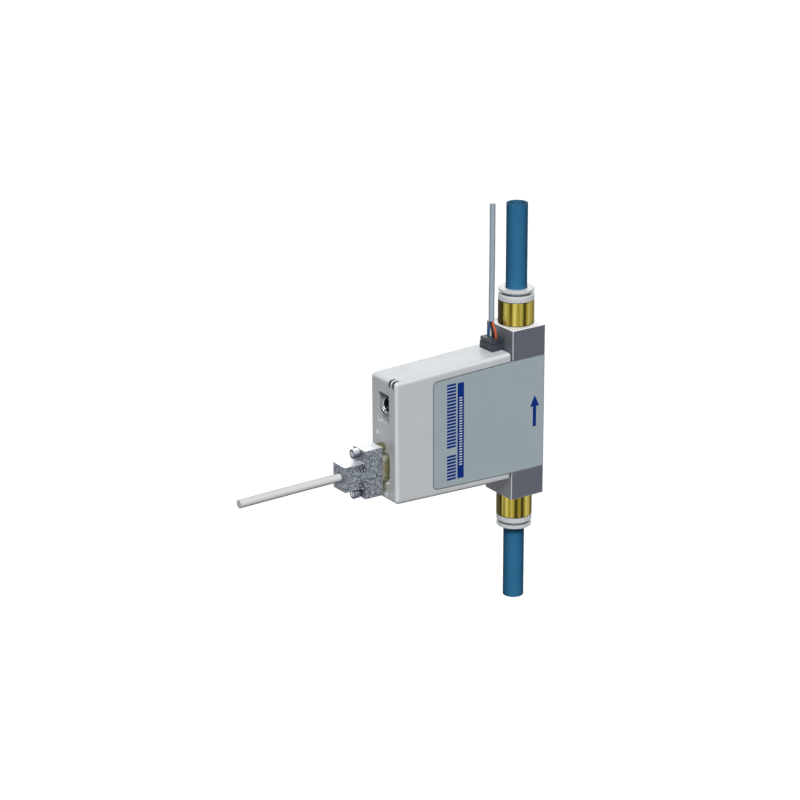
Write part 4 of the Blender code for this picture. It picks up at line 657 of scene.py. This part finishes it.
LOOKS = {
    "block_metal": block_look(),
    "case_plastic": case_look(),
    "label_film": label_look(),
    "guide_plastic": moulded("guide_plastic", (0.006, 0.016, 0.050), 0.25, specular=0.2),
    "bright_metal": turned_metal("bright_metal", (0.62, 0.64, 0.67), 0.26),
    "black_plastic": moulded("black_plastic", (0.046, 0.060, 0.076), 0.42, variation=0.60),
    "chromate_metal": chromate_look(),
    "hood_metal": hood_look(),
    "brass": brass_look("brass_turned"),
    "white_plastic": moulded("white_plastic", (0.720, 0.745, 0.760), 0.30),
    "tube_blue": tube_look(),
    "white_jacket": white_jacket_look(),
    "grey_jacket": moulded("grey_jacket", (0.560, 0.640, 0.740), 0.42, specular=0.12,
                           glaze=GREY_JACKET_GLAZE),
    "wire_blue": moulded("wire_blue", (0.015, 0.130, 0.450), 0.38),
    "wire_white": moulded("wire_white", (0.800, 0.780, 0.740), 0.38),
    "wire_black": moulded("wire_black", (0.012, 0.012, 0.013), 0.38),
    "wire_orange": moulded("wire_orange", (0.780, 0.110, 0.022), 0.38),
    "board_green": moulded("board_green", (0.020, 0.130, 0.055), 0.35),
    "rubber": moulded("rubber", (0.022, 0.022, 0.024), 0.62),
    "coil_wrap": moulded("coil_wrap", (0.450, 0.160, 0.060), 0.40),
    "steel": turned_metal("steel", (0.52, 0.53, 0.55), 0.30),
    "print_blue": moulded("print_blue", (0.003, 0.034, 0.260), 0.42, specular=0.08),
    "print_white": moulded("print_white", (0.760, 0.800, 0.850), 0.42),
    "mark_dark": moulded("mark_dark", (0.030, 0.032, 0.038), 0.50),
    "socket_thread": thread_look(),
    # Painted glints on the dark hood screws and the grey case screws
    "hood_screw": screw_look("hood_screw", (0.050, 0.062, 0.095), (0.900, 0.910, 0.930), 0.56),
    "case_screw": screw_look("case_screw", (0.420, 0.440, 0.460), (0.950, 0.955, 0.965), 0.50),
    "thumbscrew": thumbscrew_look(),
    "jackpost": turned_metal("jackpost", (0.36, 0.33, 0.18), 0.34, variation=0.4),
}
SLOT_OF = {part["node"]: part["material_slot"] for part in frame["record"]["subparts"]}
# Pieces whose finish differs from the rest of their slot
OWN_LOOKS = {
    "socket_shell": "socket_thread",
    "hood_screw_upper": "hood_screw",
    "hood_screw_lower": "hood_screw",
    "case_screw_upper": "case_screw",
    "case_screw_lower": "case_screw",
    "jackpost_upper": "jackpost",
    "jackpost_lower": "jackpost",
    "jackscrew_upper": "thumbscrew",
    "jackscrew_lower": "thumbscrew",
}
for node_name, node in NODES.items():
    node.data.materials.clear()
    node.data.materials.append(LOOKS[OWN_LOOKS.get(node_name, SLOT_OF[node_name])])


# New pieces

def add_piece(name, mesh_or_curve, look):
    """A new visible piece on the fixed body, with the material of its look."""
    piece = bpy.data.objects.new(name, mesh_or_curve)
    bpy.context.scene.collection.objects.link(piece)
    mesh_or_curve.materials.append(LOOKS[look])
    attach(piece, "base")
    return piece


def smooth_route(route, spacing):
    """Points about one spacing apart on the smooth curve that the part's source uses."""
    knots = [Vector(place) for place in route]
    padded = [2 * knots[0] - knots[1], *knots, 2 * knots[-1] - knots[-2]]
    points = []
    for before, start, end, after in zip(padded, padded[1:], padded[2:], padded[3:]):
        steps = max(1, round((end - start).length / spacing))
        for step in range(steps):
            share = step / steps
            points.append(0.5 * (2 * start + (end - before) * share
                                 + (2 * before - 5 * start + 4 * end - after) * share ** 2
                                 + (3 * start - before - 3 * end + after) * share ** 3))
    points.append(knots[-1])
    return points


def add_cord(name, node, route, diameter, look):
    """A round cable along the route, from its exit to its cut end, in place of the node."""
    points = smooth_route(route, diameter)
    curve = bpy.data.curves.new(name, "CURVE")
    curve.dimensions = "3D"
    curve.bevel_depth = diameter / 2
    curve.bevel_resolution = CORD_BEVEL_STEPS
    curve.use_fill_caps = True
    spline = curve.splines.new("POLY")
    spline.points.add(len(points) - 1)
    for point, place in zip(spline.points, points):
        point.co = (*place, 1.0)
    spline.use_smooth = True
    cord = add_piece(name, curve, look)
    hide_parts(node)


add_cord("signal_cord", "signal_cable", SIGNAL_CABLE_ROUTE, SIGNAL_CABLE_DIAMETER,
         "white_jacket")
add_cord("sensor_cord", "sensor_cable", SENSOR_CABLE_ROUTE, SENSOR_CABLE_DIAMETER,
         "grey_jacket")


def add_spring():
    """The valve spring in its own shape, as a piece of its own in place of the node."""
    node = NODES["valve_spring"]
    mesh = node.data.copy()
    mesh.materials.clear()
    spring = add_piece("spring_coil", mesh, "steel")
    spring.matrix_world = node.matrix_world
    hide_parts("valve_spring")
    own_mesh(spring)


add_spring()


def boxes_mesh(name, boxes):
    """One mesh of closed boxes, each from its lowest to its highest corner."""
    bm = bmesh.new()
    for lowest, highest in boxes:
        low, high = Vector(lowest), Vector(highest)
        middle = Matrix.Translation((low + high) / 2)
        size = Matrix.Diagonal((*(high - low), 1.0))
        bmesh.ops.create_cube(bm, size=1.0, matrix=middle @ size)
    return mesh_from(name, bm)


def printed(name, look, rectangles, lift=0.0):
    """Print on the label: flat rectangles, each given by its ends along Y and Z."""
    low = PRINT_LOW_X + lift
    mesh = boxes_mesh(name, [((low, y0, z0), (low + PRINT_THICKNESS, y1, z1))
                             for y0, y1, z0, z1 in rectangles])
    add_piece(name, mesh, look)


def inset_ring(outline, inset):
    """The points of a convex outline, moved inward by one distance."""
    ring = []
    befores = outline[-1:] + outline[:-1]
    afters = outline[1:] + outline[:1]
    for before, point, after in zip(befores, outline, afters):
        first = (point - before).normalized()
        second = (after - point).normalized()
        inward = Vector((-first.y - second.y, first.x + second.x))
        ring.append(point + inward * (inset * 2 / inward.length_squared))
    return ring


def add_label_gap_shade():
    """A thin dark line along the label's edge, as painted shade of the gap around the label."""
    mesh = NODES["side_label"].data
    high = max(vertex.co.x for vertex in mesh.vertices)
    outline = [Vector((vertex.co.y, vertex.co.z)) for vertex in mesh.vertices
               if vertex.co.x > high - SAME_PLACE]
    middle = sum(outline, Vector((0.0, 0.0))) / len(outline)
    outline.sort(key=lambda point: math.atan2(point.y - middle.y, point.x - middle.x))
    outline = [point for point, after in zip(outline, outline[1:] + outline[:1])
               if (after - point).length > SAME_PLACE]
    bm = bmesh.new()
    loops = []
    for inset, x in ((RIM_INSET, PRINT_LOW_X), (RIM_INSET, PRINT_LOW_X + PRINT_THICKNESS),
                     (RIM_INSET + RIM_WIDTH, PRINT_LOW_X + PRINT_THICKNESS),
                     (RIM_INSET + RIM_WIDTH, PRINT_LOW_X)):
        loops.append([bm.verts.new((x, y, z)) for y, z in inset_ring(outline, inset)])
    for loop, following in zip(loops, loops[1:] + loops[:1]):
        for index in range(len(loop)):
            bm.faces.new((loop[index - 1], loop[index], following[index], following[index - 1]))
    bmesh.ops.recalc_face_normals(bm, faces=bm.faces)
    add_piece("label_gap_shade", mesh_from("label_gap_shade", bm), "mark_dark")


add_label_gap_shade()


def scale_marks():
    """A column of paired strokes in two groups, in the place of the photograph's wording."""
    marks = []
    for cell in range(SCALE_CELLS):
        if cell == SCALE_EMPTY_CELL:
            continue
        z = SCALE_BOTTOM + cell * SCALE_HEIGHT / SCALE_CELLS
        for start in STROKE_STARTS:
            marks.append((*SCALE_Y, z + start, z + start + STROKE_HEIGHT))
    return marks


def dash_marks():
    """A column of dashes up the middle of the bar."""
    bottoms = [DASH_BOTTOM + DASH_PITCH * index for index in range(DASH_COUNT)]
    return [(*DASH_Y, z, z + DASH_HEIGHT) for z in bottoms]


printed("label_scale", "print_blue", scale_marks())
printed("label_bar", "print_blue", [(*BAR_Y, *BAR_Z)])
printed("label_bar_dashes", "print_white", dash_marks(), lift=PRINT_THICKNESS)


def add_arrow():
    """A plain flow arrow from inlet to outlet."""
    bm = bmesh.new()
    face = bm.faces.new([bm.verts.new((PRINT_LOW_X, y, z)) for y, z in ARROW_OUTLINE])
    grown = bmesh.ops.extrude_face_region(bm, geom=[face])
    moved = [item for item in grown["geom"] if isinstance(item, bmesh.types.BMVert)]
    bmesh.ops.translate(bm, verts=moved, vec=(PRINT_THICKNESS, 0.0, 0.0))
    bmesh.ops.recalc_face_normals(bm, faces=bm.faces)
    add_piece("label_arrow", mesh_from("label_arrow", bm), "print_blue")


add_arrow()
